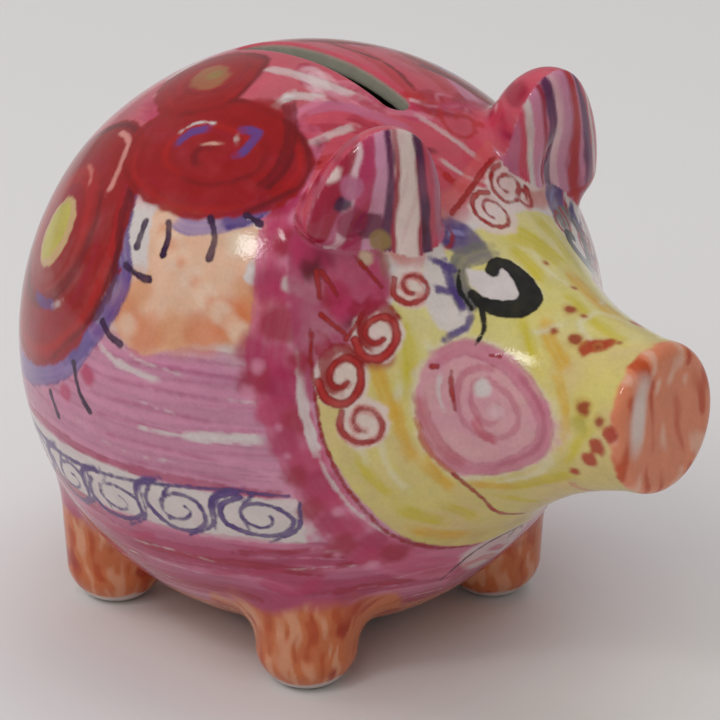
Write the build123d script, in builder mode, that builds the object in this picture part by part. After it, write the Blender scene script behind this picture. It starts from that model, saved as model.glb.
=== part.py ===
"""A hand-built, hand-painted ceramic piggy bank with a rubber stopper in its belly.

Millimetres. +X is the way the pig looks, +Y is its left side, +Z is up. The origin is on the
surface that the four feet stand on, under the middle of the pig's length.
The hollow ball is open at the front into a hollow snout, so the two hold one chamber.
"""

import os
from math import cos, radians, sin, sqrt

from build123d import *

# Body
ball_radius = 60.0
wall = 4.5
ball_centre = Vector(-12.50, 0.0, 59.8)

# Snout, round an axis through the ball's centre that rises towards the nose. Its flank is one
# hollow arc that leaves the ball smoothly, with its centre on a ray at neck_turn to the axis.
snout_rise = 5.2
snout_rim_reach = 88.0
neck_round = 64.0
neck_turn = 39.2
snout_joint_reach = 46.0

# Nose
nose_thickness = 5.4
nose_back_radius = 14.7
nose_front_radius = 14.5
nose_edge_round = 2.0

# Coin slot, cut straight down through the crown
slot_length = 44.0
slot_width = 5.5
slot_centre_x = ball_centre.X + 3.0

# Belly opening and its rubber stopper
belly_seat_drop = 56.5
belly_hole_radius = 15.0
stopper_running_gap = 0.2
stopper_plug_height = 8.0
stopper_flange_radius = 18.0
stopper_flange_thickness = 1.8
stopper_grip_size = (14.0, 4.0, 1.0)

# Feet
foot_base_radius = 5.0
foot_toe_radius = 10.4
foot_toe_height = 8.0
foot_ankle_radius = 12.4
foot_ankle_height = 42.0
foot_spread = 28.0
front_foot_x = ball_centre.X + 25.0
rear_foot_x = ball_centre.X - 31.0

# Ears: an arched flap with a thick sloping back, luted to the ball and dished in front
ear_root = Vector(40.5, 27.0, 33.0)
ear_tip = Vector(45.0, 22.0, 60.0)
right_ear_turn = 25.0
ear_half_width = 14.5
ear_root_depth = 8.0
ear_shoulder_height = 13.0
ear_shoulder_round = 9.0
ear_tip_round = 8.0
ear_tip_trim = 7.0
ear_depth = 19.0
ear_back_slope = 26.0
ear_face_forward = 3.0
ear_dish_radius = 18.0
ear_dish_depth = 4.0
ear_dish_height = 10.0

# Tail: a flat curl of rolled clay
tail_roll_radius = 2.6
tail_curl_radius = 5.6
tail_curl_turn = 300.0
tail_root_height = 16.0
tail_proud = 9.15

os.makedirs("parts", exist_ok=True)


def finish_piece(piece, name):
    """Labels a finished piece and writes it as its own STEP file."""
    piece.part.label = name
    export_step(piece.part, f"parts/{name}.step")


def half_section(inset):
    """Half of the ball and snout, cut along the axis, drawn inset below the glaze."""
    radius = ball_radius - inset
    hollow = neck_round + inset
    turn = radians(neck_turn)
    hollow_centre = (ball_radius + neck_round) * Vector(cos(turn), sin(turn))
    leaves_ball = (radius * cos(turn), radius * sin(turn))
    rim_radius = hollow_centre.Y - sqrt(hollow**2 - (snout_rim_reach - hollow_centre.X) ** 2)
    middle_reach = (leaves_ball[0] + snout_rim_reach) / 2
    middle_radius = hollow_centre.Y - sqrt(hollow**2 - (middle_reach - hollow_centre.X) ** 2)
    with BuildSketch(snout_plane) as section:
        with BuildLine():
            back_and_crown = ThreePointArc((-radius, 0), (0, radius), leaves_ball)
            flank = ThreePointArc(leaves_ball, (middle_reach, middle_radius), (snout_rim_reach, rim_radius))
            Polyline(flank @ 1, (snout_rim_reach, 0), back_and_crown @ 0)
        make_face()
    return section.sketch


rise = radians(snout_rise)
axis_direction = Vector(cos(rise), 0, sin(rise))
snout_plane = Plane(origin=ball_centre, x_dir=axis_direction, z_dir=(0, -1, 0))
snout_axis = Axis(ball_centre, axis_direction)
joint_plane = Plane(origin=ball_centre + axis_direction * snout_joint_reach, z_dir=axis_direction)
belly_seat_z = ball_centre.Z - belly_seat_drop
outer_section = half_section(inset=0)
inner_section = half_section(inset=wall)

# The ball: thrown hollow, with the coin slot in its crown and the hole in its belly
with BuildPart() as body_shell:
    revolve(outer_section, axis=snout_axis)
    revolve(inner_section, axis=snout_axis, mode=Mode.SUBTRACT)
    split(bisect_by=joint_plane, keep=Keep.BOTTOM)
    with BuildSketch(Plane.XY.offset(ball_centre.Z)):
        with Locations((slot_centre_x, 0)):
            SlotOverall(slot_length, slot_width)
    extrude(amount=ball_radius, mode=Mode.SUBTRACT)
    with BuildSketch(Plane.XY.offset(belly_seat_z)):
        with Locations((ball_centre.X, 0)):
            Circle(ball_radius)
    extrude(amount=-ball_radius, mode=Mode.SUBTRACT)
    with BuildSketch(Plane.XY.offset(belly_seat_z)):
        with Locations((ball_centre.X, 0)):
            Circle(belly_hole_radius)
    extrude(amount=wall * 2, mode=Mode.SUBTRACT)
finish_piece(body_shell, "body_shell")

# The snout: a hollow trumpet luted over the hole in the front of the ball
with BuildPart() as snout:
    revolve(outer_section, axis=snout_axis)
    revolve(inner_section, axis=snout_axis, mode=Mode.SUBTRACT)
    split(bisect_by=joint_plane, keep=Keep.TOP)
finish_piece(snout, "snout")

# The nose: a pressed disc that closes the end of the snout
with BuildPart() as nose_disc:
    rim_plane = Plane(origin=ball_centre + axis_direction * snout_rim_reach, z_dir=axis_direction)
    with BuildSketch(rim_plane):
        Circle(nose_back_radius)
    with BuildSketch(rim_plane.offset(nose_thickness)):
        Circle(nose_front_radius)
    loft()
    front_edge = edges().filter_by(GeomType.CIRCLE).sort_by(snout_axis)[-1]
    fillet(front_edge, radius=nose_edge_round)
finish_piece(nose_disc, "nose_disc")


def make_ear(side, turn, name):
    """One ear; side is +1 for the pig's left and -1 for its right.

    The turn is how far its cup looks towards the pig's right, in degrees.
    """
    root = ball_centre + Vector(ear_root.X, side * ear_root.Y, ear_root.Z)
    tip = ball_centre + Vector(ear_tip.X, side * ear_tip.Y, ear_tip.Z)
    up = (tip - root).normalized()
    height = (tip - root).length
    level = Vector(sin(radians(turn)), cos(radians(turn)), 0)
    across = (level - up * up.dot(level)).normalized()
    face_plane = Plane(origin=root, x_dir=across, z_dir=across.cross(up)).offset(ear_face_forward)
    dish_centre = face_plane.offset(ear_dish_radius - ear_dish_depth).origin + up * ear_dish_height

    with BuildPart() as ear:
        with BuildSketch(face_plane):
            with BuildLine():
                Polyline(
                    (-ear_half_width, -ear_root_depth),
                    (ear_half_width, -ear_root_depth),
                    (ear_half_width, ear_shoulder_height),
                    (0, height + ear_tip_trim),
                    (-ear_half_width, ear_shoulder_height),
                    close=True,
                )
            make_face()
            fillet(vertices().group_by(Axis.Y)[1], radius=ear_shoulder_round)
            fillet(vertices().group_by(Axis.Y)[-1], radius=ear_tip_round)
        extrude(amount=-ear_depth, taper=ear_back_slope)
        with Locations(dish_centre):
            Sphere(ear_dish_radius, mode=Mode.SUBTRACT)
        revolve(outer_section, axis=snout_axis, mode=Mode.SUBTRACT)
    finish_piece(ear, name)


make_ear(+1, 0.0, "left_ear")
make_ear(-1, right_ear_turn, "right_ear")


def make_foot(foot_x, foot_y, name):
    """One stub foot: a rounded toe on a flat base, its top dished to sit on the ball."""
    foot_plane = Plane(origin=(foot_x, foot_y, 0), x_dir=(1, 0, 0), z_dir=(0, -1, 0))
    toe_bulge = (foot_toe_radius * 0.86, foot_toe_height * 0.42)
    with BuildPart() as foot:
        with BuildSketch(foot_plane):
            with BuildLine():
                toe = ThreePointArc((foot_base_radius, 0), toe_bulge, (foot_toe_radius, foot_toe_height))
                Polyline(toe @ 1, (foot_ankle_radius, foot_ankle_height), (0, foot_ankle_height), (0, 0), toe @ 0)
            make_face()
        revolve(axis=Axis((foot_x, foot_y, 0), (0, 0, 1)))
        with Locations(ball_centre):
            Sphere(ball_radius, mode=Mode.SUBTRACT)
    finish_piece(foot, name)


make_foot(front_foot_x, foot_spread, "front_left_foot")
make_foot(front_foot_x, -foot_spread, "front_right_foot")
make_foot(rear_foot_x, foot_spread, "rear_left_foot")
make_foot(rear_foot_x, -foot_spread, "rear_right_foot")

# The tail: a curl of rolled clay standing off the rump
tail_root_z = ball_centre.Z + tail_root_height
tail_middle_x = ball_centre.X - ball_radius - tail_proud + tail_curl_radius + tail_roll_radius
with BuildPart() as tail:
    tail_plane = Plane(origin=(tail_middle_x, 0, tail_root_z))
    with BuildSketch(tail_plane):
        with Locations((tail_curl_radius, 0)):
            Circle(tail_roll_radius)
    tail_axis = Axis((tail_middle_x, 0, tail_root_z), (0, 1, 0))
    revolve(axis=tail_axis, revolution_arc=tail_curl_turn)
    with Locations(ball_centre):
        Sphere(ball_radius, mode=Mode.SUBTRACT)
finish_piece(tail, "tail")

# The stopper: a soft rubber plug with a flange under the belly and a bar to pull it by
with BuildPart() as belly_stopper:
    with BuildSketch(Plane.XY.offset(belly_seat_z - stopper_flange_thickness)):
        with Locations((ball_centre.X, 0)):
            Circle(stopper_flange_radius)
    extrude(amount=stopper_flange_thickness - stopper_running_gap)
    with BuildSketch(Plane.XY.offset(belly_seat_z - stopper_flange_thickness)):
        with Locations((ball_centre.X, 0)):
            Circle(belly_hole_radius - stopper_running_gap)
    extrude(amount=stopper_flange_thickness + stopper_plug_height)
    grip_top = Plane.XY.offset(belly_seat_z - stopper_flange_thickness)
    with BuildSketch(grip_top):
        with Locations((ball_centre.X, 0)):
            SlotOverall(stopper_grip_size[0], stopper_grip_size[1])
    extrude(amount=-stopper_grip_size[2])
finish_piece(belly_stopper, "belly_stopper")
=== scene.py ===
"""Looks of a hand-painted ceramic piggy bank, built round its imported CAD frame.

Lengths in the modelling and painting code are millimetres from the middle of the pig's ball:
X is forward, Y is the pig's left, Z is up. to_row() turns them into the frame's metres.
Directions on the pig are longitude and latitude in degrees: longitude 0 is the snout's side,
minus is the pig's right, and latitude 90 is the crown.
"""

import math

import bpy
import numpy as np
from mathutils import Matrix, Vector


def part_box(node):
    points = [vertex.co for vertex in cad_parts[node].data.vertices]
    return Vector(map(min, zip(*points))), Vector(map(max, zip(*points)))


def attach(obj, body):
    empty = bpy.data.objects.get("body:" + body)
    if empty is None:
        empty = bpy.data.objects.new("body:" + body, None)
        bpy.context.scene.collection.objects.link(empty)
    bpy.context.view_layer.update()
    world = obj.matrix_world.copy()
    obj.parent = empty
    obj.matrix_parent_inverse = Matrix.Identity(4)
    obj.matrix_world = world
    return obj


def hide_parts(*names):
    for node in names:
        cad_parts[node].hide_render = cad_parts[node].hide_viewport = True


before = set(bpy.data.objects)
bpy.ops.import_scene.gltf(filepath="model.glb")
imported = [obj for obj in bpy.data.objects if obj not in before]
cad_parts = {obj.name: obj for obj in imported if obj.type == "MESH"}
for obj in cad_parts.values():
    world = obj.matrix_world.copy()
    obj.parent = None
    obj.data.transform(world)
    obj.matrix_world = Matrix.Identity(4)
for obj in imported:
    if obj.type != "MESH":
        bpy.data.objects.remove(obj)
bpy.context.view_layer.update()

# ---------------------------------------------------------------- sizes, from the frame
MM = 0.001
LEFT, RIGHT = 1, -1
SHELL_LOW, SHELL_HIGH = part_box("body_shell")
BALL = (SHELL_HIGH.y - SHELL_LOW.y) / 2 / MM
BELLY_SEAT = 56.5
CENTRE = Vector((SHELL_LOW.x + BALL * MM, 0.0, SHELL_LOW.z + BELLY_SEAT * MM))
FLOOR = -CENTRE.z / MM
WALL = 4.5

SNOUT_RISE = math.radians(5.2)
SNOUT_AXIS = np.array([math.cos(SNOUT_RISE), 0.0, math.sin(SNOUT_RISE)])
RIM_REACH = 88.0
JOINT_REACH = 46.0
NECK_ROUND = 64.0
NECK_TURN = math.radians(39.2)
NECK_ALONG = (BALL + NECK_ROUND) * math.cos(NECK_TURN)
NECK_OFF = (BALL + NECK_ROUND) * math.sin(NECK_TURN)
NOSE_REACH = 92.9
NOSE_RADIUS = 14.4
NOSE_MIDDLE = 90.1
NOSE_HALF = 2.8

SLOT_MIDDLE = 3.0
SLOT_HALF_LENGTH = 22.0
SLOT_HALF_WIDTH = 2.75
HOLE_RADIUS = 15.0

FOOT_SPREAD = 28.0
FOOT_PLACES = {
    "front_left_foot": (25.0, FOOT_SPREAD),
    "front_right_foot": (25.0, -FOOT_SPREAD),
    "rear_left_foot": (-31.0, FOOT_SPREAD),
    "rear_right_foot": (-31.0, -FOOT_SPREAD),
}
TOE_RADIUS = 10.4
TOE_HEIGHT = 8.0

EAR_ROOT = np.array([40.5, 27.0, 33.0])
EAR_TIP = np.array([45.0, 22.0, 60.0])
EAR_TURN = {LEFT: 0.0, RIGHT: math.radians(25)}
EAR_LOBE_END = {LEFT: -5.0, RIGHT: 3.0}

TAIL_MIDDLE = np.array([-60.95, 0.0, 16.0])
TAIL_CURL = 5.6
TAIL_ROLL = 2.6


def to_row(points):
    """Millimetres from the ball's middle to metres in the row frame."""
    return np.asarray(points) * MM + np.array(CENTRE)


# ---------------------------------------------------------------- the clay, as fields
def smooth_min(a, b, k):
    h = np.clip(0.5 + 0.5 * (b - a) / k, 0, 1)
    return b * (1 - h) + a * h - k * h * (1 - h)


def smooth_max(a, b, k):
    return -smooth_min(-a, -b, k)


def turned(p):
    """Distance along the snout's axis, and distance from it."""
    along = p @ SNOUT_AXIS
    off = np.sqrt(np.maximum((p * p).sum(1) - along**2, 1e-9))
    return along, off


def ball_and_snout(p):
    along, off = turned(p)
    ball = np.sqrt((p * p).sum(1)) - BALL
    neck = NECK_ROUND - np.hypot(along - NECK_ALONG, off - NECK_OFF)
    on_neck = (off * NECK_ALONG < along * NECK_OFF) & (along > 0)
    body = smooth_max(np.where(on_neck, neck, ball), along - NOSE_REACH, 3.5)
    disc = smooth_max(off - NOSE_RADIUS, np.abs(along - NOSE_MIDDLE) - NOSE_HALF, 3.0)
    return smooth_min(body, disc, 1.2)


def hand_wobble(p):
    """The slow unevenness of hand-thrown clay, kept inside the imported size."""
    x, y, z = p[:, 0], p[:, 1], p[:, 2]
    slow = np.sin(x / 13.0 + 1.3) * np.sin(y / 11.0 + 0.4) * np.sin(z / 12.0 + 2.1)
    quick = np.sin(x / 6.1 + z / 7.7) * np.sin(y / 6.7 - x / 9.1 + 0.8)
    inward = 0.1
    return inward + 0.22 * slow + 0.07 * quick


def ear_frame(side):
    root = EAR_ROOT * [1, side, 1]
    tip = EAR_TIP * [1, side, 1]
    up = (tip - root) / np.linalg.norm(tip - root)
    turn = EAR_TURN[side]
    out = side * np.array([math.sin(turn), math.cos(turn), 0.0])
    out = out - up * (out @ up)
    out /= np.linalg.norm(out)
    face = np.cross(out, up) * side
    return root, out, up, face


def ear_local(p, side):
    """Outward, up and forward of the ear's root."""
    root, out, up, face = ear_frame(side)
    q = p - root
    return np.stack([q @ out, q @ up, q @ face], 1)


def ellipsoid(q, middle, radii):
    r = np.array(radii)
    k = (q - np.array(middle)) / r
    near = np.sqrt((k * k).sum(1))
    slope = np.sqrt(((k / r) ** 2).sum(1)) + 1e-9
    return near * (near - 1) / slope


def ear(p, side):
    q = ear_local(p, side)
    back = np.where(q[:, 2] < -2, 14.0, 5.0)
    radii = np.stack([np.full(len(q), 14.2), np.full(len(q), 25.0), back], 1)
    k = (q - np.array([0.0, 2.6, -2.0])) / radii
    near = np.sqrt((k * k).sum(1))
    slope = np.sqrt(((k / radii) ** 2).sum(1)) + 1e-9
    flap = near * (near - 1) / slope
    dish = ellipsoid(q, (0.0, 5.0, 12.5), (12.9, 22.5, 12.3))
    flap = smooth_max(flap, -dish, 1.2)
    return smooth_max(flap, EAR_LOBE_END[side] - q[:, 1], 5.0)


def foot(p, x, y):
    height = p[:, 2] - FLOOR
    off = np.hypot(p[:, 0] - x, p[:, 1] - y)
    toe = np.clip(1 - height / TOE_HEIGHT, 0, 1)
    radius = TOE_RADIUS * (1 - 0.46 * toe**2.2) + 0.05 * np.maximum(height - TOE_HEIGHT, 0)
    side = (off - radius) * 0.93
    side = smooth_max(side, height - 40.0, 6.0)
    return smooth_max(side, -height, 1.4)


def tail(p):
    turn = np.linspace(math.radians(-20), math.radians(285), 40)
    middle = TAIL_MIDDLE + np.stack(
        [TAIL_CURL * np.cos(turn), 2.2 * (turn / 5 - 0.5), TAIL_CURL * np.sin(turn)], 1
    )
    radius = TAIL_ROLL - 0.9 * np.linspace(0, 1, len(turn)) ** 2
    gap = np.full(len(p), 60.0)
    near = np.linalg.norm(p - TAIL_MIDDLE, axis=1) < 16
    apart = np.linalg.norm(p[near][:, None] - middle[None], axis=2) - radius[None]
    gap[near] = apart.min(1)
    return gap


def outer_clay(p):
    """The outside of the fired pig: every luted piece smoothed into the ball with slip."""
    body = ball_and_snout(p)
    for side in (LEFT, RIGHT):
        body = smooth_min(body, ear(p, side), 4.0)
    for x, y in FOOT_PLACES.values():
        body = smooth_min(body, foot(p, x, y), 5.5)
    body = smooth_min(body, tail(p), 1.8)
    body = body + hand_wobble(p) * np.clip((p[:, 2] - FLOOR - 3) / 8, 0, 1)
    return smooth_max(body, FLOOR - p[:, 2], 0.6)


def clay(p):
    """The whole fired shell: hollow, with its slot and belly hole."""
    body = outer_clay(p)
    flat = np.hypot(p[:, 0], p[:, 1]) - 19.5
    seat = smooth_max(flat, BELLY_SEAT + p[:, 2], 0.5)
    body = smooth_max(body, -seat, 0.8)
    body = smooth_max(body, -(ball_and_snout(p) + WALL), 0.8)
    across = np.maximum(np.abs(p[:, 0] - SLOT_MIDDLE) - SLOT_HALF_LENGTH + SLOT_HALF_WIDTH, 0)
    slot = np.hypot(across, p[:, 1]) - SLOT_HALF_WIDTH
    body = np.where(p[:, 2] > 0, smooth_max(body, -slot, 1.3), body)
    hole = np.hypot(p[:, 0], p[:, 1]) - HOLE_RADIUS
    return np.where(p[:, 2] < 0, smooth_max(body, -hole, 0.8), body)


def gradient(field, p, step=0.02):
    rise = []
    for axis in range(3):
        nudge = np.zeros(3)
        nudge[axis] = step
        rise.append((field(p + nudge) - field(p - nudge)) / (2 * step))
    return np.stack(rise, 1)


def settle(field, p, rounds):
    """Moves points onto the field's surface."""
    for _ in range(rounds):
        g = gradient(field, p)
        p = p - g * (field(p) / np.maximum((g * g).sum(1), 1e-6))[:, None]
    return p


# ---------------------------------------------------------------- fields to meshes
def surface_net(field, low, high, step):
    """Quads through the cells that the surface crosses, one point a cell."""
    axes = [np.arange(l, h + step, step) for l, h in zip(low, high)]
    shape = tuple(len(a) for a in axes)
    values = np.empty(shape, np.float32)
    yz = np.stack(np.meshgrid(axes[1], axes[2], indexing="ij"), -1).reshape(-1, 2)
    for i, x in enumerate(axes[0]):
        plane = np.concatenate([np.full((len(yz), 1), x), yz], 1)
        values[i] = field(plane).reshape(shape[1:])
    inside = values < 0
    cells = tuple(n - 1 for n in shape)
    total = np.zeros(cells + (3,), np.float32)
    count = np.zeros(cells, np.float32)
    crossing = []
    for axis in range(3):
        a = np.moveaxis(values, axis, 0)
        change = np.moveaxis(inside, axis, 0)
        change = change[:-1] != change[1:]
        with np.errstate(divide="ignore", invalid="ignore"):
            share = np.where(change, a[:-1] / (a[:-1] - a[1:]), 0)
        crossing.append(np.moveaxis(change, 0, axis))
        share = np.moveaxis(share, 0, axis)
        change = crossing[-1]
        others = [k for k in range(3) if k != axis]
        for u in (0, 1):
            for v in (0, 1):
                cut = [slice(None)] * 3
                cut[others[0]] = slice(u, cells[others[0]] + u)
                cut[others[1]] = slice(v, cells[others[1]] + v)
                hit = change[tuple(cut)]
                count += hit
                total[..., axis] += np.where(hit, share[tuple(cut)], 0)
                total[..., others[0]] += hit * u
                total[..., others[1]] += hit * v
    used = count > 0
    index = np.full(cells, -1)
    index[used] = np.arange(used.sum())
    place = np.argwhere(used) + total[used] / count[used][:, None]
    points = np.array([a[0] for a in axes]) + place * step
    quads = []
    for axis in range(3):
        others = [(axis + 1) % 3, (axis + 2) % 3]
        hits = np.argwhere(crossing[axis])
        keep = np.ones(len(hits), bool)
        for k in others:
            keep &= (hits[:, k] > 0) & (hits[:, k] < cells[k])
        hits = hits[keep]
        corner = []
        for u, v in ((1, 1), (0, 1), (0, 0), (1, 0)):
            cell = hits.copy()
            cell[:, others[0]] -= u
            cell[:, others[1]] -= v
            corner.append(index[tuple(cell.T)])
        quad = np.stack(corner, 1)
        leaving = inside[tuple(hits.T)]
        quad[~leaving] = quad[~leaving][:, ::-1]
        quads.append(quad)
    return points, np.concatenate(quads)


def relax(field, points, faces, rounds):
    """Evens the quads out along the surface."""
    edges = np.concatenate([faces[:, [k, (k + 1) % 4]] for k in range(4)])
    for _ in range(rounds):
        total = np.zeros_like(points)
        count = np.zeros(len(points))
        for a, b in ((0, 1), (1, 0)):
            np.add.at(total, edges[:, a], points[edges[:, b]])
            np.add.at(count, edges[:, a], 1)
        moved = total / np.maximum(count, 1)[:, None]
        points = settle(field, points * 0.4 + moved * 0.6, 1)
    return points


def mesh_of(name, points, faces):
    mesh = bpy.data.meshes.new(name)
    mesh.from_pydata(to_row(points).tolist(), [], faces if isinstance(faces, list) else faces.tolist())
    mesh.update()
    return mesh


PIECES = (
    ["body_shell", "snout", "nose_disc", "left_ear", "right_ear"] + list(FOOT_PLACES) + ["tail"]
)


def piece_of(p):
    """Which luted piece each point belongs to, as an index into PIECES."""
    along, _ = turned(p)
    ball = ball_and_snout(p)
    rivals = [ball, ear(p, LEFT), ear(p, RIGHT)]
    rivals += [foot(p, x, y) for x, y in FOOT_PLACES.values()]
    rivals += [tail(p)]
    nearest = np.argmin(np.stack(rivals), 0)
    label = np.where(nearest == 0, 0, nearest + 2)
    within = ball < -1.5
    label[within] = 0
    label[(label == 0) & (along > JOINT_REACH)] = 1
    label[(label == 1) & (along > RIM_REACH)] = 2
    return label


def refine(points, faces, keep_coarse):
    """Cuts every quad in four except the coarse ones, whose shared edges keep the new points."""
    edges = np.concatenate([faces[:, [k, (k + 1) % 4]] for k in range(4)])
    owner = np.tile(np.arange(len(faces)), 4)
    key = np.sort(edges, 1)
    unique, back = np.unique(key, axis=0, return_inverse=True)
    back = back.reshape(-1)
    split = np.zeros(len(unique), bool)
    split[back[~keep_coarse[owner]]] = True
    middle = np.full(len(unique), -1)
    middle[split] = len(points) + np.arange(split.sum())
    mids = (points[unique[split, 0]] + points[unique[split, 1]]) / 2
    fine = np.where(~keep_coarse)[0]
    centre = len(points) + len(mids) + np.arange(len(fine))
    points = np.concatenate([points, mids, points[faces[fine]].mean(1)])
    side_of = back.reshape(4, len(faces)).T
    m = middle[side_of]
    quads = []
    for k in range(4):
        quads.append(np.stack([faces[fine, k], m[fine, k], centre, m[fine, k - 1]], 1))
    fine_faces = np.concatenate(quads)
    fine_owner = np.tile(fine, 4)
    coarse_faces, coarse_owner = [], np.where(keep_coarse)[0]
    for f in coarse_owner:
        ring = []
        for k in range(4):
            ring.append(int(faces[f, k]))
            if m[f, k] >= 0:
                ring.append(int(m[f, k]))
        coarse_faces.append(ring)
    return points, fine_faces, fine_owner, coarse_faces, coarse_owner


def build_pig():
    """The fired shell as one skin, then shared out to its pieces."""
    step = 1.0
    low = np.array([-72.0, -62.0, FLOOR - 2.0])
    high = np.array([96.0, 62.0, 66.0])
    points, faces = surface_net(clay, low, high, step)
    points = settle(clay, points, 2)
    points = relax(clay, points, faces, 3)
    middle = points[faces].mean(1)
    inner = ball_and_snout(middle) < -2.2
    label = piece_of(middle)
    points, fine, fine_owner, coarse, coarse_owner = refine(points, faces, inner)
    points = settle(clay, points, 2)
    normals = gradient(clay, points)
    normals /= np.linalg.norm(normals, axis=1)[:, None]
    return points, normals, fine, label[fine_owner], coarse, label[coarse_owner]


def make_piece(k, pig):
    points, normals, fine, fine_label, coarse, coarse_label = pig
    mine = fine[fine_label == k]
    rest = [f for f, l in zip(coarse, coarse_label) if l == k]
    used = np.unique(np.concatenate([mine.ravel()] + [np.array(f) for f in rest]).astype(int))
    new = np.full(len(points), -1)
    new[used] = np.arange(len(used))
    all_faces = new[mine].tolist() + [[int(new[v]) for v in f] for f in rest]
    mesh = mesh_of(PIECES[k], points[used], all_faces)
    mesh.polygons.foreach_set("use_smooth", np.ones(len(mesh.polygons), bool))
    mesh.normals_split_custom_set_from_vertices(normals[used].tolist())
    obj = bpy.data.objects.new("painted_" + PIECES[k], mesh)
    bpy.context.scene.collection.objects.link(obj)
    return obj, used


# ---------------------------------------------------------------- colours and unevenness
def shade(red, green, blue):
    """Linear light of a colour given by its 0 to 255 screen values."""
    c = np.array([red, green, blue]) / 255
    return np.where(c <= 0.04045, c / 12.92, ((c + 0.055) / 1.055) ** 2.4)


NOISE_SIZE = 32
NOISE = np.random.default_rng(11).uniform(-1, 1, (NOISE_SIZE,) * 3)


def lattice(q):
    """Smooth noise from -1 to 1, with features about one unit across."""
    low = np.floor(q).astype(int)
    part = q - low
    part = part * part * (3 - 2 * part)
    total = np.zeros(len(q))
    for corner in ((i, j, k) for i in (0, 1) for j in (0, 1) for k in (0, 1)):
        share = np.prod(np.where(corner, part, 1 - part), axis=1)
        at = (low + corner) % NOISE_SIZE
        total += share * NOISE[at[:, 0], at[:, 1], at[:, 2]]
    return total


def ramp(x):
    x = np.clip(x, 0, 1)
    return x * x * (3 - 2 * x)


# ---------------------------------------------------------------- lines drawn on the pig
def direction(knots):
    """Unit vectors towards longitudes and latitudes given in degrees."""
    lon, lat = np.radians(np.asarray(knots, float)).T
    return np.stack([np.cos(lat) * np.cos(lon), np.cos(lat) * np.sin(lon), np.sin(lat)], 1)


def unit_rows(v):
    return v / np.linalg.norm(v, axis=1)[:, None]


def on_skin(units):
    """Where rays from the middle of the ball leave the ball and snout."""
    low = np.full(len(units), 10.0)
    high = np.full(len(units), 110.0)
    for _ in range(22):
        middle = (low + high) / 2
        inside = ball_and_snout(units * middle[:, None]) < 0
        low = np.where(inside, middle, low)
        high = np.where(inside, high, middle)
    return units * low[:, None]


def smooth_line(knots, closed=False, steps=8):
    """A Catmull-Rom curve through rows of numbers."""
    k = np.asarray(knots, float)
    if closed:
        k = np.concatenate([k[-1:], k, k[:2]])
    else:
        k = np.concatenate([2 * k[:1] - k[1:2], k, 2 * k[-1:] - k[-2:-1]])
    t = np.linspace(0, 1, steps, endpoint=False)[:, None]
    runs = []
    for a, b, c, d in zip(k[:-3], k[1:-2], k[2:-1], k[3:]):
        bend = (2 * a - 5 * b + 4 * c - d) * t**2 + (3 * b - a - 3 * c + d) * t**3
        runs.append(b + ((c - a) * t + bend) / 2)
    if not closed:
        runs.append(k[-2:-1])
    return np.concatenate(runs)


def skin_line(knots):
    """A smooth line on the skin through (longitude, latitude) knots."""
    return on_skin(unit_rows(smooth_line(direction(knots))))


def spiral(lon, lat, wide, high, turns, start, inner=0.15):
    """Knots of a spiral wound inwards; wide and high are its half sizes in degrees of arc."""
    count = max(int(abs(turns) * 10), 4)
    t = np.linspace(0, 1, count)
    turn = math.radians(start) + 2 * math.pi * turns * t
    size = (1 - (1 - inner) * t) * (1 + 0.09 * np.sin(2.3 * turn + lon) * (inner < 1))
    across = wide / math.cos(math.radians(lat))
    return np.stack([lon + across * size * np.cos(turn), lat + high * size * np.sin(turn)], 1)


def loop(lon, lat, wide, high, start=0):
    """Knots of a closed ring."""
    return spiral(lon, lat, wide, high, 1.0, start, inner=1.0)


def mirrored(knots, side):
    """Knots drawn for the pig's right, or taken across to its left by a freer hand."""
    k = np.array(knots, float)
    if side == LEFT:
        k[:, 0] = -k[:, 0] - 1.5 * np.sin(k[:, 1] / 9.0)
        k[:, 1] = k[:, 1] + 1.4 * np.sin(k[:, 0] / 11.0)
    return k


# ---------------------------------------------------------------- the painter
INKS = ("violet", "plum", "red", "black")
FAR_FROM_INK = 9.0


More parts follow.
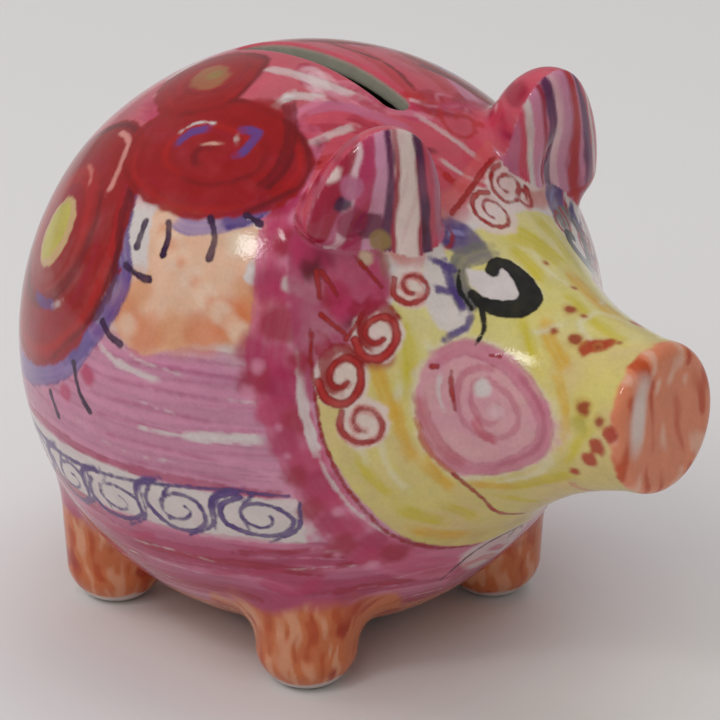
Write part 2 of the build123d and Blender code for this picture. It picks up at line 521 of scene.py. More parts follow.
class Painting:
    """Colour laid in strokes on the points of the pig's outer skin."""

    def __init__(self, points, on_outside):
        self.where = np.where(on_outside)[0]
        self.p = points[self.where]
        self.unit = unit_rows(self.p)
        self.colour = np.tile(GLAZE, (len(self.p), 1))
        self.inks = {name: np.full(len(self.p), FAR_FROM_INK) for name in INKS}
        self.strokes = 0
        self.side = RIGHT

    def each_side(self, *order):
        """Turns to each side of the pig in turn, then back to its right."""
        for side in order:
            self.side = side
            yield side
        self.side = RIGHT

    def lay(self, near, colour, cover):
        cover = np.clip(cover, 0, 1)[:, None]
        self.colour[near] = self.colour[near] * (1 - cover) + colour * cover

    def beside(self, line, margin):
        """Points near a line: which, how far, on which side, how far along, and the line's length."""
        low, high = line.min(0) - margin, line.max(0) + margin
        near = np.where(((self.p > low) & (self.p < high)).all(1))[0]
        p = self.p[near]
        gap = np.full(len(near), np.inf)
        side = np.zeros(len(near))
        along = np.zeros(len(near))
        run = 0.0
        for a, b in zip(line[:-1], line[1:]):
            step = b - a
            length = np.linalg.norm(step) + 1e-9
            t = np.clip((p - a) @ step / length**2, 0, 1)
            off = p - a - t[:, None] * step
            away = np.sqrt((off * off).sum(1))
            closer = away < gap
            gap[closer] = away[closer]
            side[closer] = np.sign(off[closer] @ np.cross(a + b, step))
            along[closer] = run + t[closer] * length
            run += length
        kept = gap < margin
        return near[kept], gap[kept], side[kept], along[kept], run

    def brush(self, knots, width, colour, cover=0.8, streak=0.35, pool=0.15, ends=2.0, soft=0.5):
        """One loaded brush stroke: hair streaks along it, colour pooled at its edges."""
        self.strokes += 1
        line = skin_line(mirrored(knots, self.side))
        half = width / 2
        near, gap, side, along, run = self.beside(line, half + 1.0)
        p = self.p[near]
        ragged = 0.3 * lattice(p / 1.3 + self.strokes)
        hair_at = [side * gap * 1.7 + self.strokes * 3.7, along * 0.11, np.zeros_like(gap)]
        hairs = lattice(np.stack(hair_at, 1))
        wet = lattice(p / 3.5 + self.strokes)
        edge = ramp((half - gap + ragged) / soft)
        tips = ramp((along + 3 * ragged) / ends + 0.3) * ramp((run - along + 3 * ragged) / ends + 0.3)
        pooled = 1 - pool * np.exp(-(((half - gap) / 0.6) ** 2))
        thin = 1 - streak * (0.5 + 0.5 * hairs) - 0.15 * wet
        self.lay(near, colour * pooled[:, None], cover * edge * tips * thin)

    def fill(self, outline, colour, cover=0.85, soft=1.5, mottle=0.25, grain=4.0):
        """A wash inside a closed outline."""
        self.strokes += 1
        outline = mirrored(outline, self.side)
        ring = unit_rows(smooth_line(direction(outline), closed=True, steps=5))
        middle = unit_rows(ring.mean(0)[None])[0]
        right = unit_rows(np.cross([0.0, 0.0, 1.0], middle)[None])[0]
        up = np.cross(middle, right)

        def flat(u):
            return BALL * np.stack([u @ right, u @ up], 1) / (u @ middle)[:, None]

        ring = flat(ring)
        near = np.where(self.unit @ middle > 0.25)[0]
        q = flat(self.unit[near])
        low, high = ring.min(0) - soft - 2, ring.max(0) + soft + 2
        boxed = ((q > low) & (q < high)).all(1)
        near, q = near[boxed], q[boxed]
        gap = np.full(len(q), np.inf)
        inside = np.zeros(len(q), bool)
        for a, b in zip(ring, np.roll(ring, -1, 0)):
            step = b - a
            t = np.clip((q - a) @ step / max(step @ step, 1e-9), 0, 1)
            gap = np.minimum(gap, np.linalg.norm(q - a - t[:, None] * step, axis=1))
            rises = (a[1] > q[:, 1]) != (b[1] > q[:, 1])
            slope = step[0] / (step[1] if abs(step[1]) > 1e-9 else 1e-9)
            inside ^= rises & (q[:, 0] < a[0] + (q[:, 1] - a[1]) * slope)
        p = self.p[near]
        depth = np.where(inside, gap, -gap) + 0.5 * lattice(p / 1.7 + self.strokes)
        blotch = lattice(p / grain + self.strokes) + 0.5 * lattice(p / (grain / 3) + self.strokes)
        self.lay(near, colour, cover * ramp(depth / soft + 0.5) * (1 - mottle * (0.5 + 0.5 * blotch)))

    def dab(self, lon, lat, size, colour, cover=0.8, soft=1.0):
        """A round touch of the brush, size millimetres across."""
        self.strokes += 1
        middle = on_skin(direction(mirrored([(lon, lat)], self.side)))[0]
        gap = np.linalg.norm(self.p - middle, axis=1)
        near = np.where(gap < size / 2 + 2)[0]
        ragged = 0.12 * size * lattice(self.p[near] / (size / 3) + self.strokes)
        self.lay(near, colour, cover * ramp((size / 2 - gap[near] + ragged) / soft + 0.5))

    def ink(self, name, knots, widths):
        """A thin line drawn with a liner; widths are its widths at start, middle and end."""
        line = skin_line(mirrored(knots, self.side))
        near, gap, _, along, run = self.beside(line, max(widths) / 2 + 1.6)
        half = np.interp(along / run, np.linspace(0, 1, len(widths)), widths) / 2
        self.inks[name][near] = np.minimum(self.inks[name][near], gap - half)


# ---------------------------------------------------------------- the palette
GLAZE = shade(214, 202, 198)
BARE_CLAY = shade(222, 214, 204)
# the inside and the walls of slot and hole: white glaze darkened to grey-green as painted shade
SHADED_INSIDE_GLAZE = shade(172, 168, 152)
PINK = shade(206, 134, 162)
ROSE = shade(188, 104, 136)
DEEP_ROSE = shade(172, 62, 98)
MAGENTA = shade(184, 48, 92)
CRIMSON = shade(156, 10, 44)
CORAL = shade(198, 62, 84)
RED = shade(150, 2, 4)
BRIGHT_RED = shade(182, 22, 18)
DARK_RED = shade(88, 2, 14)
PEACH = shade(228, 180, 148)
ORANGE = shade(214, 112, 60)
BURNT_ORANGE = shade(186, 66, 20)
LEMON = shade(216, 202, 112)
YELLOW_GREEN = shade(202, 184, 36)
OCHRE = shade(214, 162, 38)
VIOLET = shade(96, 62, 136)
LILAC = shade(152, 130, 172)
SMOKE = shade(112, 108, 104)


# ---------------------------------------------------------------- paintings on the ball
def paint_crown(art):
    """Rose and red scrubbed over the crown, round the coin slot and down the forehead."""
    art.fill(loop(0, 89, 31, 31), CORAL, 0.72, 5.0, 0.7, 7.0)
    forehead = [(-52, 62), (-40, 44), (-22, 38), (0, 40), (20, 40), (40, 44), (52, 62), (0, 76)]
    art.fill(forehead, CORAL, 0.78, 4.0, 0.6, 6.0)
    scrubs = (CRIMSON, BRIGHT_RED, shade(226, 184, 190), MAGENTA, CRIMSON, CORAL, shade(218, 130, 150))
    for k in range(70):
        lon = -70 + 140 * ((k * 0.618) % 1)
        lat = 46 + 34 * ((k * 0.382 + 0.1) % 1)
        lean = 16 * math.sin(k * 2.1)
        knots = [(lon - 9, lat + 2), (lon, lat + 4 * math.sin(k)), (lon + 9, lat - 3 + lean / 8)]
        art.brush(knots, 1.8 + 1.2 * (k % 3), scrubs[k % 7], 0.75, 0.55, 0.1, 3.0, 0.9)
    for k in range(26):
        lon = 95 + 170 * ((k * 0.618) % 1)
        lat = 52 + 26 * ((k * 0.382) % 1)
        tint = (MAGENTA, PINK, GLAZE, CORAL)[k % 4]
        art.brush([(lon - 12, lat), (lon, lat + 2), (lon + 12, lat - 1)], 3.5, tint, 0.55, 0.5)
    # beside the slot: a red lip on its left, white strokes on its right as painted highlights (glints)
    art.brush([(150, 70), (120, 80), (60, 80), (22, 72), (12, 66)], 4.5, BRIGHT_RED, 0.7, 0.4)
    art.brush([(140, 72), (90, 82), (40, 76), (18, 68)], 1.6, DARK_RED, 0.8, 0.2)
    art.brush([(75, 66), (55, 62), (38, 57)], 6.0, PINK, 0.85, 0.4)
    art.brush([(66, 73), (48, 68), (34, 62)], 4.0, BRIGHT_RED, 0.6, 0.4)
    art.brush([(-100, 79), (-62, 79), (-38, 76), (-20, 71)], 3.2, GLAZE, 0.8, 0.3)
    art.brush([(-64, 71), (-52, 72), (-40, 71)], 3.0, GLAZE, 0.8, 0.3)
    art.brush([(-66, 67), (-62, 70), (-58, 73)], 2.4, GLAZE, 0.85, 0.2)
    art.brush([(-50, 67), (-36, 69), (-20, 66), (-8, 60)], 3.4, ROSE, 0.8, 0.4)
    art.brush([(-48, 63), (-34, 63), (-22, 61)], 2.6, CRIMSON, 0.6, 0.4)
    art.brush([(-50, 58), (-40, 61), (-28, 63)], 2.6, GLAZE, 0.7, 0.4)
    art.brush([(-52, 55), (-42, 55), (-30, 57)], 3.4, BRIGHT_RED, 0.75, 0.4)
    for knots, width, tint in (
        ([(-60, 52), (-58, 60), (-52, 66)], 5.0, DEEP_ROSE),
        ([(-56, 50), (-55, 57), (-50, 62)], 3.0, CRIMSON),
        ([(-50, 47), (-48, 54), (-42, 60)], 3.0, DARK_RED),
        ([(-60, 48), (-57, 44), (-55, 40)], 3.4, CRIMSON),
        ([(-53, 50), (-52, 45), (-52, 40)], 1.6, shade(226, 170, 182)),
        ([(-57, 64), (-50, 68), (-40, 71)], 3.0, shade(214, 120, 146)),
        ([(-30, 66), (-20, 62), (-10, 56)], 3.0, CRIMSON),
        ([(-24, 60), (-14, 56), (-4, 54)], 2.4, DARK_RED),
        ([(-14, 66), (-2, 64), (8, 60)], 3.0, shade(216, 120, 142)),
        ([(-28, 54), (-20, 50), (-12, 49)], 3.0, CRIMSON),
        ([(14, 62), (26, 60), (36, 56)], 3.0, MAGENTA),
    ):
        art.brush(knots, width, tint, 0.85, 0.4, 0.1, 3.0, 1.0)
    # forehead scribbles
    art.brush(spiral(18, 57, 6, 5, 1.2, 90), 1.6, BRIGHT_RED, 0.8, 0.3)
    art.brush([(2, 62), (6, 56), (10, 49)], 2.2, GLAZE, 0.6, 0.4)
    art.brush([(-4, 52), (1, 47), (8, 44)], 1.6, GLAZE, 0.75, 0.2)
    art.brush([(-7, 50), (-1, 44), (8, 42)], 2.4, BRIGHT_RED, 0.9, 0.2)
    art.brush([(24, 57), (22, 51), (16, 48)], 2.2, BRIGHT_RED, 0.85, 0.3)
    art.brush([(30, 52), (25, 48), (20, 45)], 2.0, GLAZE, 0.7, 0.3)
    art.brush([(-4, 46), (2, 43), (10, 41), (20, 43)], 2.2, BRIGHT_RED, 0.9, 0.2)


def paint_flower(art, lon, lat, wide, high, eye, dark=1.0):
    """A poppy: a red disc swirled in rings about its eye."""
    art.fill(loop(lon, lat, wide, high), RED, 1.0, 0.9, 0.10)
    for k in range(9):
        size = 0.96 - 0.1 * k
        start = 137 * k + lat
        slip = 1.2 * math.sin(2.4 * k + lon)
        knots = loop(lon + slip, lat - slip, wide * size, high * size, start)[: 6 + k % 4]
        tint = (DARK_RED, BRIGHT_RED, RED, CRIMSON)[k % 4]
        art.brush(knots, high * (0.12 + 0.05 * (k % 3)), tint, 0.7 * dark, 0.55, 0.1, 6.0, 1.6)
    art.brush(loop(lon, lat, wide * 0.95, high * 0.95, 300)[:6], 2.4, DARK_RED, 0.7, 0.4, 0.0, 4.0, 1.2)
    if eye == "yellow":
        art.fill(loop(lon, lat, 6.6, 7.2), shade(206, 170, 120), 1.0, 0.8, 0.1)
        art.fill(loop(lon - 1, lat, 5.0, 5.8), shade(192, 178, 76), 1.0, 1.0, 0.25)
    if eye == "ochre":
        art.fill(loop(lon, lat, 5.5, 3.8), shade(166, 106, 64), 0.9, 1.5, 0.3)
        art.dab(lon, lat + 1, 4.0, shade(150, 120, 60), 0.8)


def paint_flank_flowers(art):
    flower_a = [(-102, 47), (-98, 41), (-94, 34), (-90, 29), (-89, 25), (-91, 19)]
    skirt = [(-93, 16), (-95, 13), (-98, 9), (-102, 6), (-108, 3), (-116, 0), (-125, -1)]
    art.brush(flower_a + skirt, 5.6, VIOLET, 0.95, 0.3, 0.3)
    art.brush(skirt, 5.0, LILAC, 0.7, 0.4, 0.1)
    art.brush([(-100, 9), (-97, 11), (-93, 15.5)], 4.5, shade(84, 60, 130), 0.7, 0.4)
    crescent = [(-81, 41), (-76, 40), (-68, 41.5), (-61, 44), (-57, 48)]
    art.brush(crescent, 4.8, LILAC, 0.95, 0.3, 0.2)
    art.brush(crescent[2:], 4.4, shade(66, 40, 118), 0.95, 0.3, 0.1)
    paint_flower(art, -119, 28, 25, 26, "yellow")
    art.brush([(-101, 46), (-96, 37), (-92, 30), (-91, 24), (-94, 17)], 2.2, DARK_RED, 0.8, 0.3)
    art.brush([(-107, 17), (-112, 15.5), (-117, 15.5)], 2.6, VIOLET, 0.85, 0.3)
    art.brush([(-105, 18), (-108, 16)], 2.0, GLAZE, 0.6, 0.2)
    paint_flower(art, -81, 55, 21, 14, "plain")
    paint_flower(art, -124, 70, 13, 12, "ochre", 0.7)
    art.fill([(-104, 62), (-84, 68), (-62, 70), (-52, 64), (-54, 56), (-80, 62)], RED, 0.85, 2.0, 0.3)
    art.brush([(-58, 70), (-54, 62), (-55, 54), (-60, 49)], 3.4, DARK_RED, 0.7, 0.4)
    art.brush([(-95, 54.5), (-93, 58), (-87, 60)], 2.6, VIOLET, 0.95, 0.1)
    art.brush([(-98, 57), (-94, 60.5), (-86, 61.5)], 1.2, GLAZE, 0.95, 0.1)
    art.brush([(-86, 56), (-82, 57), (-78, 57.4)], 1.4, shade(226, 170, 150), 0.95, 0.1)
    art.brush([(-74, 61.5), (-67, 61), (-69, 57), (-71, 55.5)], 2.6, VIOLET, 0.95, 0.1)
    art.brush([(-74, 60), (-73, 57.5)], 1.6, GLAZE, 0.8, 0.2)
    # painted highlights: pale glints on the glaze above the poppy, laid in as colour
    art.brush([(-126, 50), (-115, 50), (-108, 44), (-106, 40)], 2.0, shade(226, 150, 140), 0.85, 0.2)
    art.brush([(-126, 41), (-120, 41), (-116, 39)], 1.6, shade(220, 120, 108), 0.8, 0.2)
    ticks = [
        [(-89, 29.8), (-85, 28.6), (-82, 28.4)],
        [(-91, 18.5), (-88.5, 16.5), (-85.5, 15.5)],
        [(-97.5, 8.5), (-95.5, 3.5), (-92.5, 0.5)],
        [(-105.5, 0), (-103, -4)],
        [(-82, 39.5), (-80.5, 36.5), (-80.5, 33.6)],
        [(-71.5, 42), (-69, 38.5), (-69, 34.4)],
        [(-88.5, 38.5), (-88, 33.5)],
        [(-62.5, 43.4), (-58.6, 42)],
    ]
    for tick in ticks:
        art.ink("plum", tick, (1.5, 1.2, 1.7))


def paint_rump(art):
    """A third poppy over the tail, on a sponged peach ground."""
    ground = [(-146, 17), (-163, 16), (-180, 16), (-197, 16), (-214, 17)]
    ground += [(-214, 32), (-196, 28), (-164, 28), (-146, 32)]
    art.fill(ground, PEACH, 0.97, 0.9, 0.15, 2.0)
    for k in range(40):
        tint = (ORANGE, PEACH, shade(214, 140, 90))[k % 3]
        art.dab(-148 - 64 * ((k * 0.618) % 1), 18 + 11 * ((k * 0.382) % 1), 3.0 + k % 4, tint, 0.5, 2.2)
    skirt = [(-150, 34), (-158, 27), (-168, 23.5), (-180, 22.5), (-192, 23.5), (-202, 27), (-210, 34)]
    art.brush(skirt, 5.0, VIOLET, 0.95, 0.3, 0.3)
    paint_flower(art, -180, 44, 20, 19, "yellow")
    # a painted highlight: a pale glint above the poppy, as on the flank
    art.brush([(-196, 54), (-186, 58), (-174, 58)], 2.0, shade(226, 150, 140), 0.85, 0.2)
    for lon in (-154, -164, -174, -186, -197, -206):
        low = 24.5 + 0.013 * (lon + 180) ** 2
        art.ink("plum", [(lon, low), (lon + 0.04 * (lon + 180), low - 5)], (1.5, 1.2, 1.7))


def paint_peach(art):
    """The block of sponged orange between the flowers and the pink."""
    top = [(-87, 41), (-76, 43), (-69, 42), (-61, 44.5), (-56, 39)]
    right = [(-60.5, 33.5), (-56, 30), (-55.5, 25), (-57.5, 21)]
    bottom = [(-66, 19), (-71, 18), (-79, 15), (-86, 17), (-88, 22), (-86, 27), (-83, 30)]
    art.fill(top + right + bottom, PEACH, 0.97, 0.9, 0.15, 2.0)
    edges = [(-86, 21), (-85, 26), (-80, 18.5), (-73, 20), (-67, 21), (-60, 22)]
    edges += [(-57.5, 26), (-57.5, 30), (-62, 24)]
    for k, (lon, lat) in enumerate(edges):
        art.dab(lon, lat, 8.0, (ORANGE, shade(214, 140, 90))[k % 2], 0.6, 4.0)
    for k in range(60):
        lon = -86 + 28 * ((k * 0.618) % 1)
        lat = 19 + 20 * ((k * 0.382 + 0.07) % 1)
        art.dab(lon, lat, 2.2 + (k % 3), (ORANGE, PEACH, shade(232, 200, 176))[k % 3], 0.35, 1.8)
    # a small white square: a painted highlight on the glaze
    art.dab(-58.2, 32.3, 3.8, GLAZE, 1.0, 0.7)
    art.dab(-63, 38, 5.0, shade(228, 204, 176), 0.8, 2.5)
    art.dab(-56.5, 35.5, 4.6, BURNT_ORANGE, 0.7, 2.0)


def paint_grounds(art):
    """The washes under every stroke: rose over the crown, pink, deep rose, orange beneath."""
    height = np.degrees(np.arcsin(art.unit[:, 2])) + 1.5 * lattice(art.p / 6.0)
    cloud = lattice(art.p / 9.0)[:, None]
    crown_edge = 40 - 20 * ramp(-2 * art.unit[:, 0])
    art.lay(slice(None), CORAL * (1 + 0.15 * cloud), 0.9 * ramp((height - crown_edge) / 6))
    art.lay(slice(None), PINK * (1 + 0.08 * cloud), 0.9 * ramp((17 - height) / 2))
    art.lay(slice(None), DEEP_ROSE * (1 + 0.15 * cloud), 0.95 * ramp((-20 - height) / 2))
    art.lay(slice(None), shade(184, 100, 62) * (1 + 0.2 * cloud), 0.95 * ramp((-47 - height) / 8))


def paint_pink_rows(art):
    """Broad pink strokes round the ball's waist, with white left between some of them."""
    for row in range(12):
        lat = 16.5 - 2.15 * row
        for k in range(6):
            start = -51 - 43 * k + 4 * math.sin(row * 1.7 + k)
            knots = [(start, lat), (start - 15, lat + 0.4), (start - 30, lat - 0.3), (start - 46, lat + 0.2)]
            tint = PINK * (0.94 + 0.08 * math.sin(row * 2.3 + k))
            art.brush(knots, 3.0, tint, 0.85, 0.3, 0.25, 3.0, 0.6)
    for row in range(12):
        lat = 15.4 - 2.05 * row - 0.5 * math.sin(row * 2.7)
        for k in range(6):
            start = -53 - 42 * k - 12 * math.sin(row * 2.9 + k * 1.3)
            knots = [(start, lat), (start - 14, lat + 0.5), (start - 28, lat - 0.2)]
            art.brush(knots, 1.1 + 0.7 * (row % 2), shade(172, 82, 120), 0.66, 0.3, 0.0, 7.0, 1.0)
    for _ in art.each_side(RIGHT, LEFT):
        gaps = [
            ([(-91.5, 14.5), (-86, 12.2), (-76, 10.6)], 1.8),
            ([(-88, 16.5), (-80, 13.5), (-70, 12.8)], 0.9),
            ([(-80, 0.8), (-69, 1.3), (-61, 2.2), (-55, 2.5)], 1.3),
            ([(-70, 1.2), (-62, 2.0), (-55, 2.4)], 2.6),
            ([(-84, 6.5), (-72, 5.2)], 0.7),
            ([(-98, -2), (-86, -5), (-72, -4.6)], 0.8),
            ([(-63, 9.5), (-54, 9.2)], 0.7),
        ]
        for knots, width in gaps:
            art.brush(knots, width, GLAZE, 0.85, 0.3, 0.0, 3.0, 0.5)
        art.dab(-93, 7.5, 4.0, MAGENTA, 0.8, 1.5)
        art.dab(-100, 2, 4.0, MAGENTA, 0.7, 1.5)
    for k in range(7):
        start = -52 - 36 * k
        art.brush([(start, -9), (start - 20, -8.2), (start - 40, -9)], 2.6, DEEP_ROSE, 0.85, 0.3)


def paint_scroll_band(art):
    """The white band of violet running scrolls round the ball, above the lower rose strokes."""
    for k in range(7):
        start = -47 - 38 * k
        art.brush([(start, -15), (start - 20, -15.2), (start - 42, -15)], 12.0, GLAZE, 1.0, 0.05, 0.0, 2.0)
    for side in art.each_side(RIGHT, LEFT):
        top = [(-50.5, -9), (-56, -8.8), (-62, -8.6), (-70, -9.4), (-79, -10.6)]
        top += [(-93, -12.4), (-108, -13), (-124, -12), (-144, -11), (-163, -12), (-182, -12)]
        art.ink("violet", top, (0.8, 1.4, 0.8))
        centres = [(-56.4, -14.4), (-73.2, -15.2), (-89, -17.4), (-104, -18)]
        centres += [(-120, -17), (-137, -16), (-154, -16)]
        if side == RIGHT:
            centres += [(-171, -16.4), (-188, -16)]
        for k, (lon, lat) in enumerate(centres):
            coil = spiral(lon + 0.6, lat, 7.8, 5.6, 1.75, 120 + 14 * k, 0.24)
            art.ink("violet", coil, (1.3, 1.2, 1.0, 0.8))
            art.ink("violet", [(lon - 1, lat + 5), (lon - 3.4, lat + 1), (lon - 2, lat - 3)], (0.9, 0.8, 0.5))
            art.ink("violet", [(lon + 8, lat + 4), (lon + 7.6, lat - 2), (lon + 2, lat - 6)], (0.7, 1.1, 0.6))
            art.ink("violet", [(lon - 4, lat + 5.4), (lon - 9, lat + 3), (lon - 9, lat - 4)], (1.4, 1.2, 0.7))
            spread = [(lon - 3, lat + 6), (lon - 7.5, lat + 4.4), (lon - 9, lat + 1)]
            art.brush(spread, 2.2, shade(84, 48, 128), 0.9, 0.3, 0.1, 1.5)


def paint_lower_rows(art):
    """Rose strokes below the scrolls, and the orange underside."""
    for row in range(12):
        lat = -21.5 - 2.2 * row
        for k in range(8):
            start = -4 - 44 * k + 6 * math.sin(row * 2.1 + k * 1.9)
            knots = [(start, lat - 0.8), (start - 16, lat + 0.8), (start - 32, lat), (start - 46, lat + 0.5)]
            tint = (DEEP_ROSE, shade(206, 122, 152), CRIMSON, ROSE, DEEP_ROSE)[(2 * row + k) % 5]
            art.brush(knots, 3.2, tint, 0.85, 0.45, 0.2, 3.0, 0.6)
    for row in range(9):
        lat = -23 - 2.6 * row
        for k in range(7):
            start = -20 - 51 * k - 16 * math.sin(row * 1.3 + k)
            knots = [(start, lat), (start - 12, lat + 1.2), (start - 24, lat + 0.4)]
            art.brush(knots, 0.9, (GLAZE, PINK)[row % 2], 0.6, 0.4, 0.0, 4.0)
    for _ in art.each_side(RIGHT, LEFT):
        darks = [
            ([(-46, -22), (-52, -23), (-62, -24)], 2.2, CRIMSON),
            ([(-28, -26.5), (-36, -26), (-42, -27.5)], 2.2, CRIMSON),
            ([(-44, -31), (-50, -34), (-58, -32)], 4.5, MAGENTA),
            ([(-52, -28), (-60, -30), (-70, -32)], 2.0, MAGENTA),
            ([(-32, -35), (-40, -37), (-48, -38)], 3.0, DEEP_ROSE),
            ([(-80, -24), (-92, -27), (-104, -26)], 2.6, MAGENTA),
        ]
        for knots, width, tint in darks:
            art.brush(knots, width, tint, 0.75, 0.4)
    under = shade(196, 120, 84)
    for row in range(8):
        lat = -49 - 3.4 * row
        for k in range(6):
            start = -60 * k + 9 * row
            knots = [(start, lat), (start - 30, lat + 1), (start - 62, lat)]
            art.brush(knots, 4.5, (under, ORANGE, shade(208, 150, 120))[(row + k) % 3], 0.85, 0.45, 0.1)


def paint_collar(art):
    """The scalloped magenta ruff between the flank and the face."""
    spine = [(-50, 60), (-53, 52), (-53, 44), (-53, 35), (-53, 26), (-54, 17), (-51, 8), (-48, 0), (-45, -7)]
    spine += [(-42, -13), (-37, -20), (-31, -25), (-22, -30), (-10, -33)]
    art.brush(spine, 10.0, shade(204, 104, 136), 0.95, 0.4, 0.1)
    art.brush([(a - 0.5, b) for a, b in spine], 6.0, MAGENTA, 0.5, 0.7, 0.1)
    blots = [
        (-54, 50, 8), (-56, 46, 6), (-51, 46, 6), (-54, 40, 6), (-50, 38, 7), (-55, 31, 7), (-51, 30, 6),
        (-52, 24, 8), (-57, 18.5, 7), (-52, 17, 7), (-56.5, 13.5, 7), (-51, 12, 8), (-53, 7.5, 7),
        (-49, 6, 6), (-51, 2, 6), (-47, -2, 7), (-49, -5, 5), (-45, -7, 7), (-42.5, -10, 6),
        (-46.5, -12, 5), (-43, -16, 6), (-39, -17, 6), (-40, -21, 6), (-34, -21, 7), (-35, -25, 6),
        (-29, -25, 6),
    ]
    for k, (lon, lat, size) in enumerate(blots):
        art.dab(lon, lat, size, (MAGENTA, CRIMSON, shade(166, 30, 78))[k % 3], 0.75, 2.6)
    for k, (lon, lat, size) in enumerate(blots[::2]):
        lon, lat = lon + 1.4 * math.sin(k * 2.2), lat - 2.6
        art.dab(lon, lat, size * (0.3 + 0.2 * math.sin(k * 1.7)), shade(216, 140, 166), 0.75, 1.6)
    art.brush([(-46.8, 24), (-48, 15), (-47.2, 7), (-45.2, 0)], 2.4, GLAZE, 0.95, 0.2, 0.0)
    art.brush([(-45.2, 0), (-42, -7), (-37, -14), (-31, -19.5)], 1.2, GLAZE, 0.8, 0.3, 0.0)
    for lon, lat, size in ((-50.5, 31, 3.5), (-46, 26, 4.5), (-48, 30, 3.0), (-46, 20, 3.5)):
        art.dab(lon, lat, size, GLAZE, 0.8, 1.2)
    line = [(-46.4, 23), (-46.2, 17), (-45.4, 10), (-44.4, 4), (-42.4, -2), (-39.4, -8)]
    line += [(-35, -14.4), (-31, -19), (-26, -22.6), (-19, -25.4), (-11, -27)]
    art.ink("red", line, (0.6, 0.9, 0.7))


# ---------------------------------------------------------------- paintings on the face
def paint_face(art):
    """Lemon wash with yellow-green and ochre strokes over the face and snout."""
    half = [(-45, 16), (-44.6, 5), (-41, -4), (-35, -13), (-27, -21), (-14, -26)]
    brow = [(-40, 20), (-31, 26), (-22, 32), (-14, 36), (-4, 37)]
    outline = half + [(0, -27)] + [(-a, b) for a, b in half[::-1]] + [(-a, b) for a, b in brow]
    outline += [(0, 36.5)] + brow[::-1]
    art.fill(outline, LEMON, 0.97, 1.2, 0.22, 6.0)
    marks = [
        ([(2, 35), (7, 30), (8, 25)], 7.0, YELLOW_GREEN),
        ([(-1, 33), (0, 28), (-1, 24)], 5.0, YELLOW_GREEN),
        ([(14, 35), (15, 29), (12, 24)], 5.0, YELLOW_GREEN),
        ([(8, 24), (5, 20), (3, 17)], 6.0, OCHRE),
        ([(1, 22), (-1, 18), (-2, 15)], 4.0, YELLOW_GREEN),
        ([(-6, 20), (-8, 17), (-9, 13)], 4.5, OCHRE),
        ([(-9, 21), (-10.5, 17), (-11.5, 13)], 3.6, YELLOW_GREEN),
        ([(-10, 13), (-11, 8), (-11.5, 3)], 3.4, OCHRE),
        ([(-9.5, 7.5), (-10.5, 4), (-10.5, 0)], 3.2, YELLOW_GREEN),
        ([(-9.5, -1), (-11, -4), (-14, -7)], 4.6, YELLOW_GREEN),
        ([(-12, -6), (-16, -6.5), (-19, -6.6)], 3.4, OCHRE),
        ([(-14, -9), (-10, -10), (-6, -11)], 3.6, YELLOW_GREEN),
        ([(-35, 20), (-33, 12), (-31, 5)], 4.5, OCHRE),
        ([(-29, 24), (-28, 18), (-28.5, 12)], 4.5, YELLOW_GREEN),
        ([(-31, 10), (-30, 3), (-27.5, -3)], 4.0, OCHRE),
        ([(-27, -1), (-24, -5), (-21, -8)], 4.5, OCHRE),
        ([(-38, -1), (-35, -6), (-31, -10)], 3.6, YELLOW_GREEN),
        ([(-33, -2), (-30, -6), (-27, -10)], 3.0, LEMON),
        ([(-30, -12), (-26, -15), (-20, -17)], 4.5, YELLOW_GREEN),
        ([(-27, -18), (-20, -21), (-13, -22)], 4.5, OCHRE),
        ([(-22, -12), (-18, -14), (-14, -17)], 4.0, YELLOW_GREEN),
        ([(-4, -19), (0, -22), (6, -22)], 5.0, YELLOW_GREEN),
        ([(-3, 13), (0, 12), (4, 13)], 3.0, LEMON),
        ([(6, 12), (8, 8), (9, 3)], 4.0, YELLOW_GREEN),
        ([(4, -8), (0, -10), (-5, -9)], 4.0, OCHRE),
    ]
    for knots, width, tint in marks:
        art.brush(knots, width, tint, 0.9, 0.5, 0.05, 4.0, 1.6)
        if knots[0][0] < -9:
            art.brush(mirrored(knots, LEFT), width, tint, 0.75, 0.55, 0.05, 4.0, 1.6)
    pales = [
        [(-4, 30), (-3, 26), (-4, 22)],
        [(-6, 12), (-7, 9), (-7.5, 5)],
        [(-9.5, 18.5), (-8, 18), (-5, 18.5)],
        [(-34, 2), (-32, -4), (-28, -9)],
        [(-11.4, 0.5), (-12.4, -3), (-15, -5.6)],
        [(-25, 20), (-24, 17)],
        [(1, 18.5), (-3, 18), (-5, 15)],
        [(-38, 8), (-37.5, 2), (-36, -3)],
        [(-30, 14), (-30.5, 9)],
    ]
    for knots in pales:
        art.brush(knots, 2.6, shade(222, 214, 184), 0.7, 0.4, 0.0, 3.0, 1.2)
        art.brush(mirrored(knots, LEFT), 2.2, shade(222, 214, 184), 0.6, 0.4, 0.0, 3.0, 1.2)


